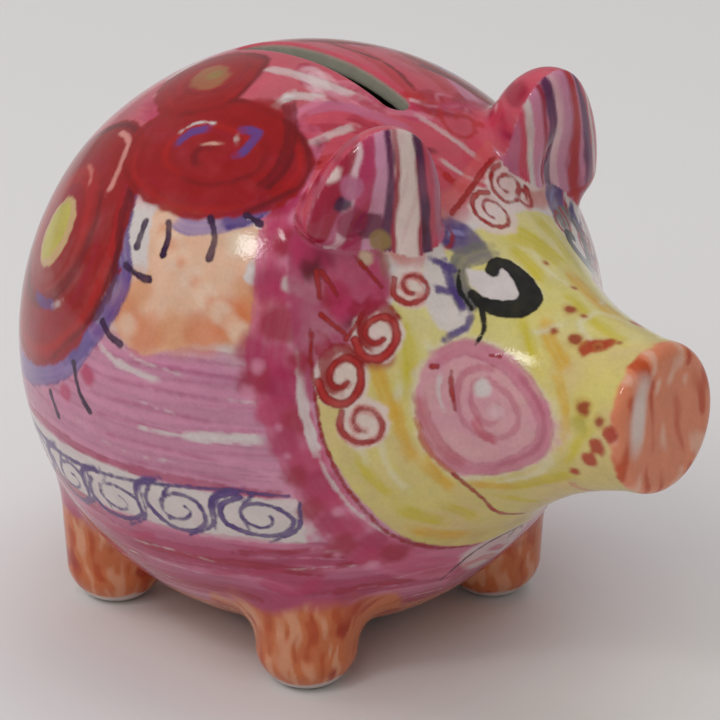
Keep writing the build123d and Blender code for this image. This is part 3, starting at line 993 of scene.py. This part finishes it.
def paint_cheek(art):
    """A round pink cheek, brushed in a swirl, with the mouth's line under it."""
    disc = [(-27.6, 9), (-26.6, 14), (-23, 17.6), (-18.6, 18.6), (-14.6, 16.6), (-12.6, 12)]
    disc += [(-11.8, 7), (-12, 2), (-13.6, -1.6), (-16.6, -4), (-20.6, -4.4), (-24.6, -1), (-27, 4)]
    halo = [(-17.5 + (a + 17.5) * 1.08, 7 + (b - 7) * 1.07) for a, b in disc]
    art.fill(halo, shade(222, 206, 190), 0.7, 1.5)
    art.fill(disc, shade(212, 148, 160), 1.0, 0.9, 0.2, 3.0)
    rim = [(-24, 16), (-18.6, 17.6), (-14.4, 14.6), (-12.8, 9), (-12.8, 3)]
    rim += [(-15, -1.4), (-19, -3.2), (-23.4, -0.6)]
    art.brush(rim, 4.0, shade(198, 112, 134), 0.85, 0.4, 0.2)
    art.brush([(-13.4, 13), (-12.6, 7), (-13.4, 1.4), (-16.6, -2.6)], 1.6, shade(184, 96, 116), 0.7, 0.4)
    swirl = spiral(-17.6, 8.2, 4.2, 6.8, 1.9, 60, 0.25)
    art.brush(swirl, 1.8, shade(190, 104, 122), 0.7, 0.3, 0.1)
    art.brush([(-27, 10), (-26, 5), (-23.6, 0.4), (-20, -2.4)], 3.2, shade(186, 84, 96), 0.7, 0.5)
    art.brush([(-19.6, 6.4), (-18.4, 3.6), (-16.6, 2.8)], 2.6, shade(192, 78, 98), 0.75, 0.4)
    art.brush([(-27.6, 6), (-26.4, 1.6), (-23.8, -2.4), (-21, -4.6)], 1.8, BURNT_ORANGE, 0.8, 0.3)
    # a white painted highlight on the cheek, then a paler pink touch below it
    art.dab(-17.9, 11, 3.2, GLAZE, 0.95, 1.2)
    art.dab(-16.8, 7.4, 3.0, shade(222, 186, 188), 0.7, 1.6)
    art.brush([(-23.2, 13.6), (-24, 10.6), (-23.4, 7.4)], 1.4, GLAZE, 0.85, 0.2, 0.0)
    art.ink("red", [(-21.6, 14), (-22, 11), (-21.8, 7.6)], (0.7, 1.1, 0.6))
    art.ink("red", [(-24.4, 15), (-23.6, 15)], (1.3, 1.0))
    art.ink("red", [(-15.8, 15.9), (-14.6, 15.6)], (0.5, 0.9))
    mouth = [(-21.6, -4.6), (-18.8, -7.2), (-16, -10), (-13.6, -12.8), (-10.8, -14.8), (-5, -16.6)]
    art.ink("red", mouth, (1.1, 0.9, 0.9, 1.2, 0.6))


def paint_eye(art, side, lon, lat):
    """A heavy black crescent round the white of the eye, smoke above it, violet lashes behind."""

    def place(knots):
        k = np.array(knots, float)
        return np.stack([lon - side * k[:, 0], lat + k[:, 1]], 1)

    lash_tint = shade(78, 56, 118)
    art.fill(place([(-13, 7), (-8, 9), (-7, 0), (-9, -7), (-14, -4)]), GLAZE, 0.95, 1.0, 0.05)
    lid = [(-8.6, 12.4), (-4.9, 14.1), (-0.5, 12.8), (2.4, 9.4), (1.6, 6.4), (-4.2, 6.6), (-7.4, 9)]
    art.fill(place(lid), lash_tint, 0.95, 1.2, 0.3, 3.0)
    art.brush(place([(-5.6, 10.6), (-2.6, 10.8), (0, 9.4)]), 1.6, shade(150, 140, 186), 0.8, 0.3)
    art.brush(place([(-7.6, -3.4), (-7.4, 1), (-5.4, 4.8), (-1, 6.2), (3, 6)]), 4.4, SMOKE, 0.97, 0.3, 0.0)
    art.brush(place([(-4, 4.6), (-1, 4.8), (2.6, 4.6)]), 3.0, shade(132, 124, 118), 0.9, 0.4, 0.0)
    white = [(-4.8, 3.6), (-2.6, 2.6), (0, 2.2), (3.4, 2.6), (3.6, -1), (1, -3.6), (-3, -3.6), (-5, -1.6)]
    art.fill(place(white), GLAZE, 1.0, 0.7, 0.0)
    crescent = [(0.2, 2.2), (1.8, 3.2), (3.6, 2.7), (4.5, 0), (3.3, -3.3)]
    crescent += [(0.3, -4.7), (-2.9, -4.0), (-5.0, -2.5), (-5.8, -0.6)]
    art.ink("black", place(crescent), (2.8, 2.6, 3.8, 4.4, 4.8, 4.4, 3.8, 3.0, 1.8))
    art.ink("black", place([(-6.0, 4.0), (-7.6, 0.6), (-7.0, -3.2)]), (0.5, 1.1, 0.9))
    art.ink("black", place([(-5.4, -3.4), (-6.6, -6.6), (-8.6, -8.8)]), (1.4, 1.1, 0.6))
    lashes = [
        [(-12.2, 7.8), (-9.6, 6), (-7.2, 4.4)],
        [(-12.6, 1.6), (-10, 0.8), (-7.8, 0.4)],
        [(-12.8, -7.2), (-9, -5.8), (-7.2, -3.6)],
        [(-10.2, 12), (-8, 10.6), (-6, 8.6)],
        [(-8.6, 6), (-8.8, 2), (-8.4, -2.6)],
    ]
    for lash in lashes:
        art.brush(place(lash), 2.1, lash_tint, 0.97, 0.2, 0.1, 1.0)


def paint_brow_scrolls(art):
    """The chain of red curls that borders the face, and the hatching behind it."""
    behind = [(-50, 41), (-40, 40), (-31, 37), (-29, 29), (-35, 24), (-39, 19)]
    behind += [(-43, 14), (-46.5, 10), (-49, 18), (-51, 30)]
    art.fill(behind, DEEP_ROSE, 0.97, 1.6, 0.2, 3.0)
    for k in range(14):
        lon, lat = -48 + 15 * ((k * 0.618) % 1), 17 + 22 * ((k * 0.382) % 1)
        art.dab(lon, lat, 4.5 + k % 3, (CRIMSON, MAGENTA, DARK_RED, shade(206, 120, 142))[k % 4], 0.75, 2.2)
    curls = [(-36.6, 5.4, 4.8, 0), (-40.4, 14.2, 5.2, 1), (-33.2, 21.6, 4.8, 1)]
    curls += [(-25, 29.2, 3.8, 0), (-14.6, 37.4, 2.6, 0)]
    for lon, lat, size, heavy in curls:
        wide = size * 0.92
        art.fill(loop(lon, lat, wide + 0.4, size + 0.3), shade(226, 204, 196), 0.95, 1.0, 0.1)
        coil = spiral(lon, lat, wide, size, 1.35, 150 + 40 * heavy, 0.3)
        art.brush(coil, 2.2, (shade(214, 120, 112), BRIGHT_RED)[heavy], 0.8, 0.3)
        if heavy:
            art.brush(spiral(lon, lat + 0.8, wide * 0.9, size * 0.9, 0.7, 10, 0.7), 2.8, RED, 0.95, 0.2)
        art.ink("red", coil, (1.9, 1.7, 1.4, 1.0) if heavy else (1.3, 1.0, 0.8))
    if art.side == RIGHT:
        art.brush([(-12, 42), (-2, 45), (10, 48), (24, 49), (34, 46)], 5.0, shade(214, 96, 96), 0.85, 0.4)
        art.ink("red", [(-10, 41), (0, 44.6), (12, 47.4), (24, 47.6)], (1.0, 1.4, 0.9))
    for lon, lat, size in ((2, 39, 4.6), (12.6, 42, 4.6), (24, 42.4, 4.2)):
        if art.side == RIGHT:
            art.fill(loop(lon, lat, size + 1, size + 0.6), shade(224, 200, 194), 0.85, 1.0, 0.1)
            art.ink("red", spiral(lon, lat, size, size, 1.5, 60, 0.3), (1.3, 1.1, 0.8))
    hatch = [
        [(-45, 33.4), (-44.4, 28.6)],
        [(-44, 33.4), (-42, 31), (-40.8, 28.8)],
        [(-44.2, 25.6), (-41.4, 23.4), (-39, 21.6)],
        [(-39.4, 21), (-37.4, 23.4), (-35.8, 25.4)],
        [(-36.5, 36), (-33.5, 32.6), (-31.4, 29.8)],
        [(-46, 22), (-46.4, 17)],
    ]
    art.fill([(-42, 40), (-33, 36), (-30, 29), (-34, 25), (-40, 26.6), (-44, 33)], MAGENTA, 0.8, 2.0, 0.5)
    art.brush([(-39, 27.4), (-36, 26), (-32.6, 28)], 3.4, CRIMSON, 0.85, 0.3)
    art.brush([(-44.6, 21), (-43, 17.4)], 4.0, CRIMSON, 0.8, 0.3)
    for knots in hatch:
        art.ink("red", knots, (1.1, 1.0, 0.8))
    salmon = [(-30, 40), (-20, 45), (-12, 42), (-12, 37), (-20, 33), (-28, 34)]
    art.fill(salmon, shade(206, 122, 112), 0.85, 2.0, 0.4)
    art.dab(-17, 41.6, 3.6, shade(228, 186, 172), 0.9, 1.5)
    art.brush([(-33, 38), (-30, 35), (-30, 31.4)], 2.4, shade(150, 92, 52), 0.6, 0.4)
    art.dab(-34, 35.6, 3.0, shade(206, 184, 150), 0.8, 1.2)


def paint_specks(art):
    specks = [
        (-2, 19.8, 2.4), (-1.4, 18.6, 1.2), (-6.8, 17.8, 1.5), (-5.6, 16.4, 2.6), (-4.6, 15.2, 1.3),
        (-2.4, 15.2, 1.0), (-9.8, 8.6, 2.8), (-9.4, 7.2, 2.0), (4, 27, 1.2), (3.6, 22, 1.2), (9, 17, 1.6),
        (11, 9, 2.2), (7, 14, 1.0),
    ]
    for lon, lat, size in specks:
        art.dab(lon, lat, size * 1.5, shade(196, 150, 70), 0.5, 1.5)
        art.dab(lon, lat, size, shade(150, 50, 24), 0.9, 0.9)
    art.dab(-10.4, 6.6, 3.4, shade(170, 156, 46), 0.7, 2.0)


def paint_chest_curl(art):
    """A plum curl and a pink touch on the chest, under the mouth."""
    art.fill([(-12, -30), (-2, -25), (8, -28), (8, -36), (-4, -38)], GLAZE, 0.8, 2.0, 0.3)
    art.ink("plum", [(-14, -38), (-10, -32), (-5, -27.5), (2, -26), (5, -28)], (0.7, 0.9, 0.8))
    art.ink("plum", [(1, -26.4), (2, -30)], (0.9, 0.6))
    art.brush([(-3, -31), (1, -33), (5, -34)], 2.4, MAGENTA, 0.8, 0.3)
    art.brush([(-9, -35), (-3, -34.6), (3, -37)], 2.6, CORAL, 0.7, 0.4)


def paint_nose(art):
    """Streaky orange over the nose and its rim, with a pale, almost white patch at one side."""
    along, _ = turned(art.p)
    tilt = art.p[:, 2] * SNOUT_AXIS[0] - art.p[:, 0] * SNOUT_AXIS[2]
    across = art.p[:, 1]
    nose = ramp((along - 90.0 + 0.6 * lattice(art.p / 1.6)) / 1.2)
    swirl = 2.2 * lattice(art.p / 7.0 + 5.0)
    streaks = lattice(np.stack([(across + swirl) / 2.0, (tilt - 2 * swirl) / 6.0, along / 9.0], 1))
    blots = lattice(art.p / 4.5 + 3.0)
    art.lay(slice(None), shade(220, 128, 92), nose * 0.97)
    art.lay(slice(None), shade(194, 78, 34), nose * ramp(2.6 * streaks + 0.8 * blots - 0.1))
    art.lay(slice(None), shade(230, 176, 150), nose * 0.8 * ramp(-streaks * 3.0 - 0.9))
    patch = ramp(1.5 - np.hypot((across + 9.2 - 0.2 * tilt) / 2.2, (tilt - 3.5) / 6.0) + 0.5 * blots)
    art.lay(slice(None), shade(222, 198, 186), patch * ramp((along - 88.0) / 1.5))
    rim = [(-5.6, 15.3, 3.0), (-4.4, 15.3, 3.0), (-3.2, 15.4, 2.2), (-9.2, 6, 2.6), (-9.6, 4, 3.0)]
    rim += [(-9.6, 2, 3.0), (-9.6, -0.6, 1.8), (5, 15.5, 2.6), (9.4, 8, 2.6), (9.8, 2, 3.0), (6, -4.4, 2.6)]
    for lon, lat, size in rim:
        art.dab(lon, lat, size * 1.2, shade(172, 44, 10), 0.92, 1.0)
    art.brush([(-9, -2.6), (-7.4, -4.4), (-4.4, -5.4), (0, -5.6)], 2.2, shade(208, 128, 100), 0.85, 0.4)


# ---------------------------------------------------------------- paintings on feet, ears and tail
def paint_feet(art):
    """Orange brushed down each foot, a bare ground rim under it."""
    for k, (x, y) in enumerate(FOOT_PLACES.values()):
        off = np.hypot(art.p[:, 0] - x, art.p[:, 1] - y)
        height = art.p[:, 2] - FLOOR
        near = (off < 23) & (height < 32)
        p = art.p[near]
        turn = np.arctan2(p[:, 1] - y, p[:, 0] - x)
        leg = ramp((23 - height[near] + 3 * lattice(p / 5.0)) / 4.0) * ramp((20 - off[near]) / 2)
        hairs = lattice(np.stack([turn * 4.0 + k + 0.8 * lattice(p / 5.0), height[near] / 8, turn], 1))
        fine = lattice(np.stack([turn * 10.0 + k + lattice(p / 4.0), height[near] / 5, turn], 1))
        blots = lattice(p / 5.0 + 2 * k)
        art.lay(near, shade(204, 112, 62), leg * 0.97)
        art.lay(near, shade(184, 72, 26), leg * 0.85 * ramp(2.2 * hairs + 1.2 * fine + 0.4 * blots - 0.1))
        art.lay(near, shade(222, 160, 124), leg * 0.75 * ramp(-2.0 * hairs - 1.4 * fine - 0.6))
        art.lay(near, shade(166, 44, 8), leg * 0.9 * ramp(1.8 * blots + 0.7 * fine - 0.3))
        low = ramp((3.1 - height[near] + 1.1 * lattice(p / 3.5)) / 1.0)
        art.lay(near, GLAZE, low * 0.92)


def paint_ears(art, label, fine_normals):
    """Stripes up the cupped fronts, scrubbed rose and red over the backs."""
    stripes = {
        LEFT: [
            (-11, -8, 5.0, CORAL), (-8, -6.5, 3.4, PINK), (-9.5, -10, 1.4, GLAZE), (-6, -5.4, 1.0, CRIMSON),
            (-3.2, -2.8, 2.6, shade(84, 32, 78)), (-0.6, 0, 2.6, shade(226, 176, 184)), (2, 2.2, 2.4, PINK),
            (4.8, 6.2, 2.0, BRIGHT_RED), (7.0, 8.4, 1.2, PINK), (8.8, 9.8, 2.6, shade(96, 36, 84)),
            (12, 12, 3.0, CORAL), (11, 12.4, 0.9, GLAZE),
        ],
        RIGHT: [
            (-14, -7, 2.0, CORAL), (-12.5, -5, 2.4, shade(66, 16, 62)), (-10.4, -3.2, 1.0, CRIMSON),
            (-7.8, -0.8, 4.6, shade(226, 206, 196)), (-4.8, 1.4, 1.1, CRIMSON),
            (-3.6, 3.6, 2.0, shade(74, 20, 66)), (-0.6, 6.2, 3.4, shade(210, 146, 172)),
            (3.6, 9, 3.6, MAGENTA), (7.6, 11, 2.0, shade(226, 190, 196)), (12.5, 13, 4.0, CRIMSON),
        ],
    }
    blobs = [
        (9, 12.5, 1.5, shade(50, 8, 56)), (2, 8.5, 3.0, shade(104, 12, 58)), (6, 9, 3.4, shade(150, 20, 70)),
        (12.4, 17.5, 2.4, shade(226, 200, 194)), (-1, 5.6, 2.2, shade(150, 118, 60)), (8, 16, 2.2, ROSE),
    ]
    for side, index in ((LEFT, PIECES.index("left_ear")), (RIGHT, PIECES.index("right_ear"))):
        mine = np.where(label == index)[0]
        q = ear_local(art.p[mine], side)
        face = ear_frame(side)[3]
        front = ramp((fine_normals[mine] @ face - 0.1) / 0.3)
        blots = lattice(q / 4.0 + side)
        hairs = lattice(np.stack([q[:, 0] / 1.3, q[:, 1] / 9.0, np.zeros(len(q))], 1))
        art.lay(mine, CORAL, 0.9 - 0.3 * ramp(blots))
        scrub = lattice(np.stack([q[:, 0] / 6.0, q[:, 1] / 1.8, q[:, 2] / 5.0], 1))
        art.lay(mine, DEEP_ROSE, 0.8 * ramp(scrub + 0.5 * blots))
        art.lay(mine, CRIMSON, 0.8 * ramp(1.6 * scrub - 0.5 * blots - 0.3))
        art.lay(mine, shade(228, 172, 178), 0.75 * ramp(-1.4 * scrub - 0.3 * blots - 0.3))
        # a pale band along each ear's rim, where the surface turns from its front to its back: a painted
        # highlight on the ridge
        rim = np.exp(-((front - 0.5) / 0.35) ** 2)
        art.lay(mine, shade(226, 190, 192), 0.45 * rim * ramp(0.5 + lattice(q / 3.0)))
        art.lay(mine, ROSE, 0.75 * front)
        for foot_out, tip_out, width, tint in stripes[side]:
            share = q[:, 1] / 26.0
            middle = foot_out + (tip_out * 0.72 - foot_out) * np.clip(share, 0, 1)
            gap = np.abs(q[:, 0] - middle + 0.35 * lattice(q / 3.0 + foot_out))
            art.lay(mine, tint, 0.92 * front * ramp((width / 2 - gap) / 0.7 + 0.5) * (1 - 0.3 * ramp(hairs)))
        for out, up, size, tint in blobs if side == RIGHT else []:
            gap = np.hypot(q[:, 0] - out, q[:, 1] - up) + 0.5 * lattice(q / 1.6)
            art.lay(mine, tint, 0.9 * front * ramp((size - gap) / 0.9 + 0.5))
        foot_line = np.abs(q[:, 1] + 1.0 + 0.5 * lattice(q / 3.0))
        art.lay(mine, BRIGHT_RED, 0.8 * front * ramp((1.2 - foot_line) / 0.8))


def paint_tail(art, label):
    mine = np.where(label == PIECES.index("tail"))[0]
    rings = lattice(art.p[mine] / 2.2)
    art.lay(mine, CORAL, np.full(len(mine), 0.9))
    art.lay(mine, shade(226, 170, 176), 0.8 * ramp(rings))


def paint_pig(points, normals):
    """Colours, ink distances and bare clay for every point of the fired shell."""
    depth = outer_clay(points)
    art = Painting(points, depth > -1.2)
    label = piece_of(art.p)
    paint_grounds(art)
    paint_pink_rows(art)
    paint_scroll_band(art)
    paint_lower_rows(art)
    paint_crown(art)
    for _ in art.each_side(LEFT, RIGHT):
        paint_peach(art)
        paint_collar(art)
        paint_flank_flowers(art)
    paint_rump(art)
    paint_face(art)
    for _ in art.each_side(LEFT, RIGHT):
        paint_brow_scrolls(art)
        paint_cheek(art)
    paint_eye(art, RIGHT, -8.5, 26.6)
    paint_eye(art, LEFT, 26, 24.5)
    paint_chest_curl(art)
    paint_nose(art)
    paint_specks(art)
    paint_feet(art)
    paint_ears(art, label, normals[art.where])
    paint_tail(art, label)
    # inside the shell and down the walls of the slot and hole, a grey-green painted shade stands in for the
    # white glaze
    colour = np.tile(SHADED_INSIDE_GLAZE, (len(points), 1))
    cover = ramp((depth[art.where] + 1.0) / 0.7)[:, None]
    colour[art.where] = art.colour * cover + SHADED_INSIDE_GLAZE * (1 - cover)
    inks = {}
    off_ball = label >= PIECES.index("left_ear")
    for name in INKS:
        inks[name] = np.full(len(points), FAR_FROM_INK)
        inks[name][art.where] = np.where(off_ball | (cover[:, 0] < 0.5), FAR_FROM_INK, art.inks[name])
    height = points[:, 2] - FLOOR
    bare = ramp((1.3 - height) / 0.6)
    colour += (BARE_CLAY - colour) * bare[:, None]
    return np.clip(colour, 0, 1), inks, bare


# ---------------------------------------------------------------- materials
INK_COLOURS = {
    "violet": (shade(98, 66, 132), shade(58, 34, 96)),
    "plum": (shade(62, 24, 66), shade(38, 10, 40)),
    "red": (shade(182, 40, 36), shade(132, 12, 16)),
    "black": (shade(20, 18, 16), shade(8, 7, 6)),
}


class Shader:
    """A node tree with short calls for the few nodes that the glaze needs."""

    def __init__(self, name):
        self.material = bpy.data.materials.new(name)
        self.material.use_nodes = True
        self.tree = self.material.node_tree
        self.bsdf = self.tree.nodes["Principled BSDF"]
        self.place = self.add("ShaderNodeTexCoord").outputs["Object"]

    def add(self, kind, **settings):
        node = self.tree.nodes.new(kind)
        for key, value in settings.items():
            setattr(node, key, value)
        return node

    def link(self, source, socket):
        if isinstance(source, bpy.types.NodeSocket):
            self.tree.links.new(source, socket)
        else:
            socket.default_value = source

    def noise(self, per_metre, detail=2.0):
        node = self.add("ShaderNodeTexNoise")
        self.link(self.place, node.inputs["Vector"])
        node.inputs["Scale"].default_value = per_metre
        node.inputs["Detail"].default_value = detail
        return node.outputs["Fac"]

    def spread(self, value, low, high, to_low, to_high):
        node = self.add("ShaderNodeMapRange")
        names = ("Value", "From Min", "From Max", "To Min", "To Max")
        for name, item in zip(names, (value, low, high, to_low, to_high)):
            self.link(item, node.inputs[name])
        return node.outputs["Result"]

    def sum(self, a, b, operation="ADD"):
        node = self.add("ShaderNodeMath", operation=operation)
        self.link(a, node.inputs[0])
        self.link(b, node.inputs[1])
        return node.outputs[0]

    def mix(self, share, a, b, blend="MIX"):
        node = self.add("ShaderNodeMix", data_type="RGBA", blend_type=blend)
        self.link(share, node.inputs[0])
        self.link(a, node.inputs[6])
        self.link(b, node.inputs[7])
        return node.outputs[2]

    def attribute(self, name, output):
        return self.add("ShaderNodeAttribute", attribute_name=name).outputs[output]


def solid(colour):
    return (*[float(c) for c in colour], 1.0)


def glaze(name, mottle=0.05, peel=0.2):
    """Clear gloss glaze over brushed colour and liner ink; bare clay where it was ground off."""
    s = Shader(name)
    grains = s.noise(1400, 4.0)
    clouds = s.noise(230, 3.0)
    colour = s.attribute("paint", "Color")
    speckle = s.spread(grains, 0.3, 0.7, 1 - mottle, 1 + mottle / 2)
    tone = s.sum(speckle, s.spread(clouds, 0.3, 0.7, 0.94, 1.05), "MULTIPLY")
    grey = s.add("ShaderNodeCombineColor")
    for socket in grey.inputs:
        s.link(tone, socket)
    colour = s.mix(1.0, colour, grey.outputs[0], "MULTIPLY")
    wobble = s.spread(s.noise(620, 2.0), 0.3, 0.7, -0.17, 0.17)
    relief = s.sum(grains, 0.25, "MULTIPLY")
    for ink in INKS:
        gap = s.sum(s.attribute("ink_" + ink, "Fac"), wobble)
        cover = s.spread(gap, -0.22, 0.2, 1.0, 0.0)
        thin = s.sum(cover, s.spread(clouds, 0.35, 0.65, 0.97 if ink == "black" else 0.8, 1.0), "MULTIPLY")
        light, dark = INK_COLOURS[ink]
        body = s.mix(s.spread(gap, -0.7, 0.0, 0.0, 1.0), solid(light), solid(dark))
        colour = s.mix(thin, colour, body)
        relief = s.sum(relief, s.sum(cover, 0.25, "MULTIPLY"))
    s.link(colour, s.bsdf.inputs["Base Color"])
    bare = s.attribute("bare", "Fac")
    gloss = s.spread(clouds, 0.3, 0.7, 0.06, 0.14)
    s.link(s.sum(gloss, s.sum(bare, 0.7, "MULTIPLY")), s.bsdf.inputs["Roughness"])
    relief = s.sum(relief, s.sum(s.noise(160, 1.0), 3.0 * peel, "MULTIPLY"))
    bump = s.add("ShaderNodeBump")
    bump.inputs["Strength"].default_value = 0.35
    bump.inputs["Distance"].default_value = 0.00025
    s.link(relief, bump.inputs["Height"])
    s.link(bump.outputs["Normal"], s.bsdf.inputs["Normal"])
    s.bsdf.inputs["IOR"].default_value = 1.5
    return s.material


def rubber():
    """Soft dark rubber, with a fine moulded grain and a dusty bloom."""
    s = Shader("stopper_rubber")
    bloom = s.noise(260, 4.0)
    grain = s.noise(2600, 2.0)
    colour = s.mix(s.spread(bloom, 0.35, 0.7, 0.0, 1.0), solid(shade(38, 37, 38)), solid(shade(62, 60, 60)))
    s.link(colour, s.bsdf.inputs["Base Color"])
    s.link(s.spread(bloom, 0.3, 0.7, 0.5, 0.72), s.bsdf.inputs["Roughness"])
    bump = s.add("ShaderNodeBump")
    bump.inputs["Strength"].default_value = 0.3
    bump.inputs["Distance"].default_value = 0.0001
    s.link(grain, bump.inputs["Height"])
    s.link(bump.outputs["Normal"], s.bsdf.inputs["Normal"])
    return s.material


def add_paint(mesh, used, colour, inks, bare):
    """Hands each point's colour, ink distances and bareness to the mesh."""
    rgba = np.concatenate([colour[used], np.ones((len(used), 1))], 1)
    mesh.attributes.new("paint", "FLOAT_COLOR", "POINT").data.foreach_set("color", rgba.ravel())
    for name in INKS:
        mesh.attributes.new("ink_" + name, "FLOAT", "POINT").data.foreach_set("value", inks[name][used])
    mesh.attributes.new("bare", "FLOAT", "POINT").data.foreach_set("value", bare[used])


SLOTS = {
    "body_shell": "body_glaze",
    "snout": "snout_glaze",
    "nose_disc": "nose_glaze",
    "left_ear": "ear_glaze",
    "right_ear": "ear_glaze",
    "tail": "tail_glaze",
}
SLOTS.update({name: "foot_glaze" for name in FOOT_PLACES})


# ---------------------------------------------------------------- camera, floor and light
CAMERA_AZIMUTH = math.radians(43.4)
CAMERA_ELEVATION = math.radians(23.1)
CAMERA_DISTANCE = 0.720
CAMERA_RIGHT = 0.0096
CAMERA_DOWN = 0.0059
CAMERA_LENS = 175.8


def make_camera():
    a, e = CAMERA_AZIMUTH, CAMERA_ELEVATION
    right = Vector((math.cos(a), math.sin(a), 0))
    back = Vector((math.sin(a) * math.cos(e), -math.cos(a) * math.cos(e), math.sin(e)))
    up = back.cross(right)
    data = bpy.data.cameras.new("camera")
    data.lens = CAMERA_LENS
    data.sensor_width = 36.0
    data.clip_start = 0.01
    cam = bpy.data.objects.new("camera", data)
    place = CENTRE + back * CAMERA_DISTANCE + right * CAMERA_RIGHT - up * CAMERA_DOWN
    turn = Matrix((right, up, back)).transposed()
    cam.matrix_world = Matrix.Translation(place) @ turn.to_4x4()
    bpy.context.scene.collection.objects.link(cam)
    bpy.context.scene.camera = cam


def area_light(name, place, size, power, mirrored_in_glaze=True):
    data = bpy.data.lights.new(name, "AREA")
    data.shape = "RECTANGLE"
    data.size, data.size_y = size
    data.energy = power
    lamp = bpy.data.objects.new(name, data)
    lamp.visible_glossy = mirrored_in_glaze
    lamp.location = place
    aim = CENTRE - Vector(place)
    lamp.rotation_euler = aim.to_track_quat("-Z", "Y").to_euler()
    bpy.context.scene.collection.objects.link(lamp)


def make_stage():
    w = 6.0
    mesh = bpy.data.meshes.new("floor")
    mesh.from_pydata([(-w, -w, 0), (w, -w, 0), (w, w, 0), (-w, w, 0)], [], [(0, 1, 2, 3)])
    floor = bpy.data.objects.new("floor", mesh)
    bpy.context.scene.collection.objects.link(floor)
    mat = bpy.data.materials.new("floor")
    mat.use_nodes = True
    bsdf = mat.node_tree.nodes["Principled BSDF"]
    bsdf.inputs["Base Color"].default_value = (0.80, 0.775, 0.765, 1)
    bsdf.inputs["Roughness"].default_value = 0.75
    mesh.materials.append(mat)
    world = bpy.data.worlds.new("studio")
    world.use_nodes = True
    world.node_tree.nodes["Background"].inputs["Color"].default_value = (0.97, 0.98, 1.0, 1)
    world.node_tree.nodes["Background"].inputs["Strength"].default_value = 0.33
    bpy.context.scene.world = world
    bpy.context.scene.view_settings.view_transform = "Standard"
    area_light("glint", (0.15, -1.0, 1.3), (0.22, 0.22), 1.7)
    area_light("key", (0.35, -1.1, 1.4), (1.3, 1.3), 7.5, False)
    area_light("left_fill", (-1.1, -0.6, 0.9), (0.9, 0.9), 4.6, False)
    area_light("top", (-0.1, 0.4, 1.5), (1.2, 1.2), 6.6, False)


# ---------------------------------------------------------------- the pig, piece by piece
make_camera()
make_stage()
pig = build_pig()
colour, inks, bare = paint_pig(pig[0], pig[1])
materials = {name: glaze(name) for name in sorted(set(SLOTS.values()))}
for index, name in enumerate(PIECES):
    piece, used = make_piece(index, pig)
    add_paint(piece.data, used, colour, inks, bare)
    piece.data.materials.append(materials[SLOTS[name]])
    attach(piece, "pig")
    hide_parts(name)

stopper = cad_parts["belly_stopper"]
stopper.data.materials.clear()
stopper.data.materials.append(rubber())
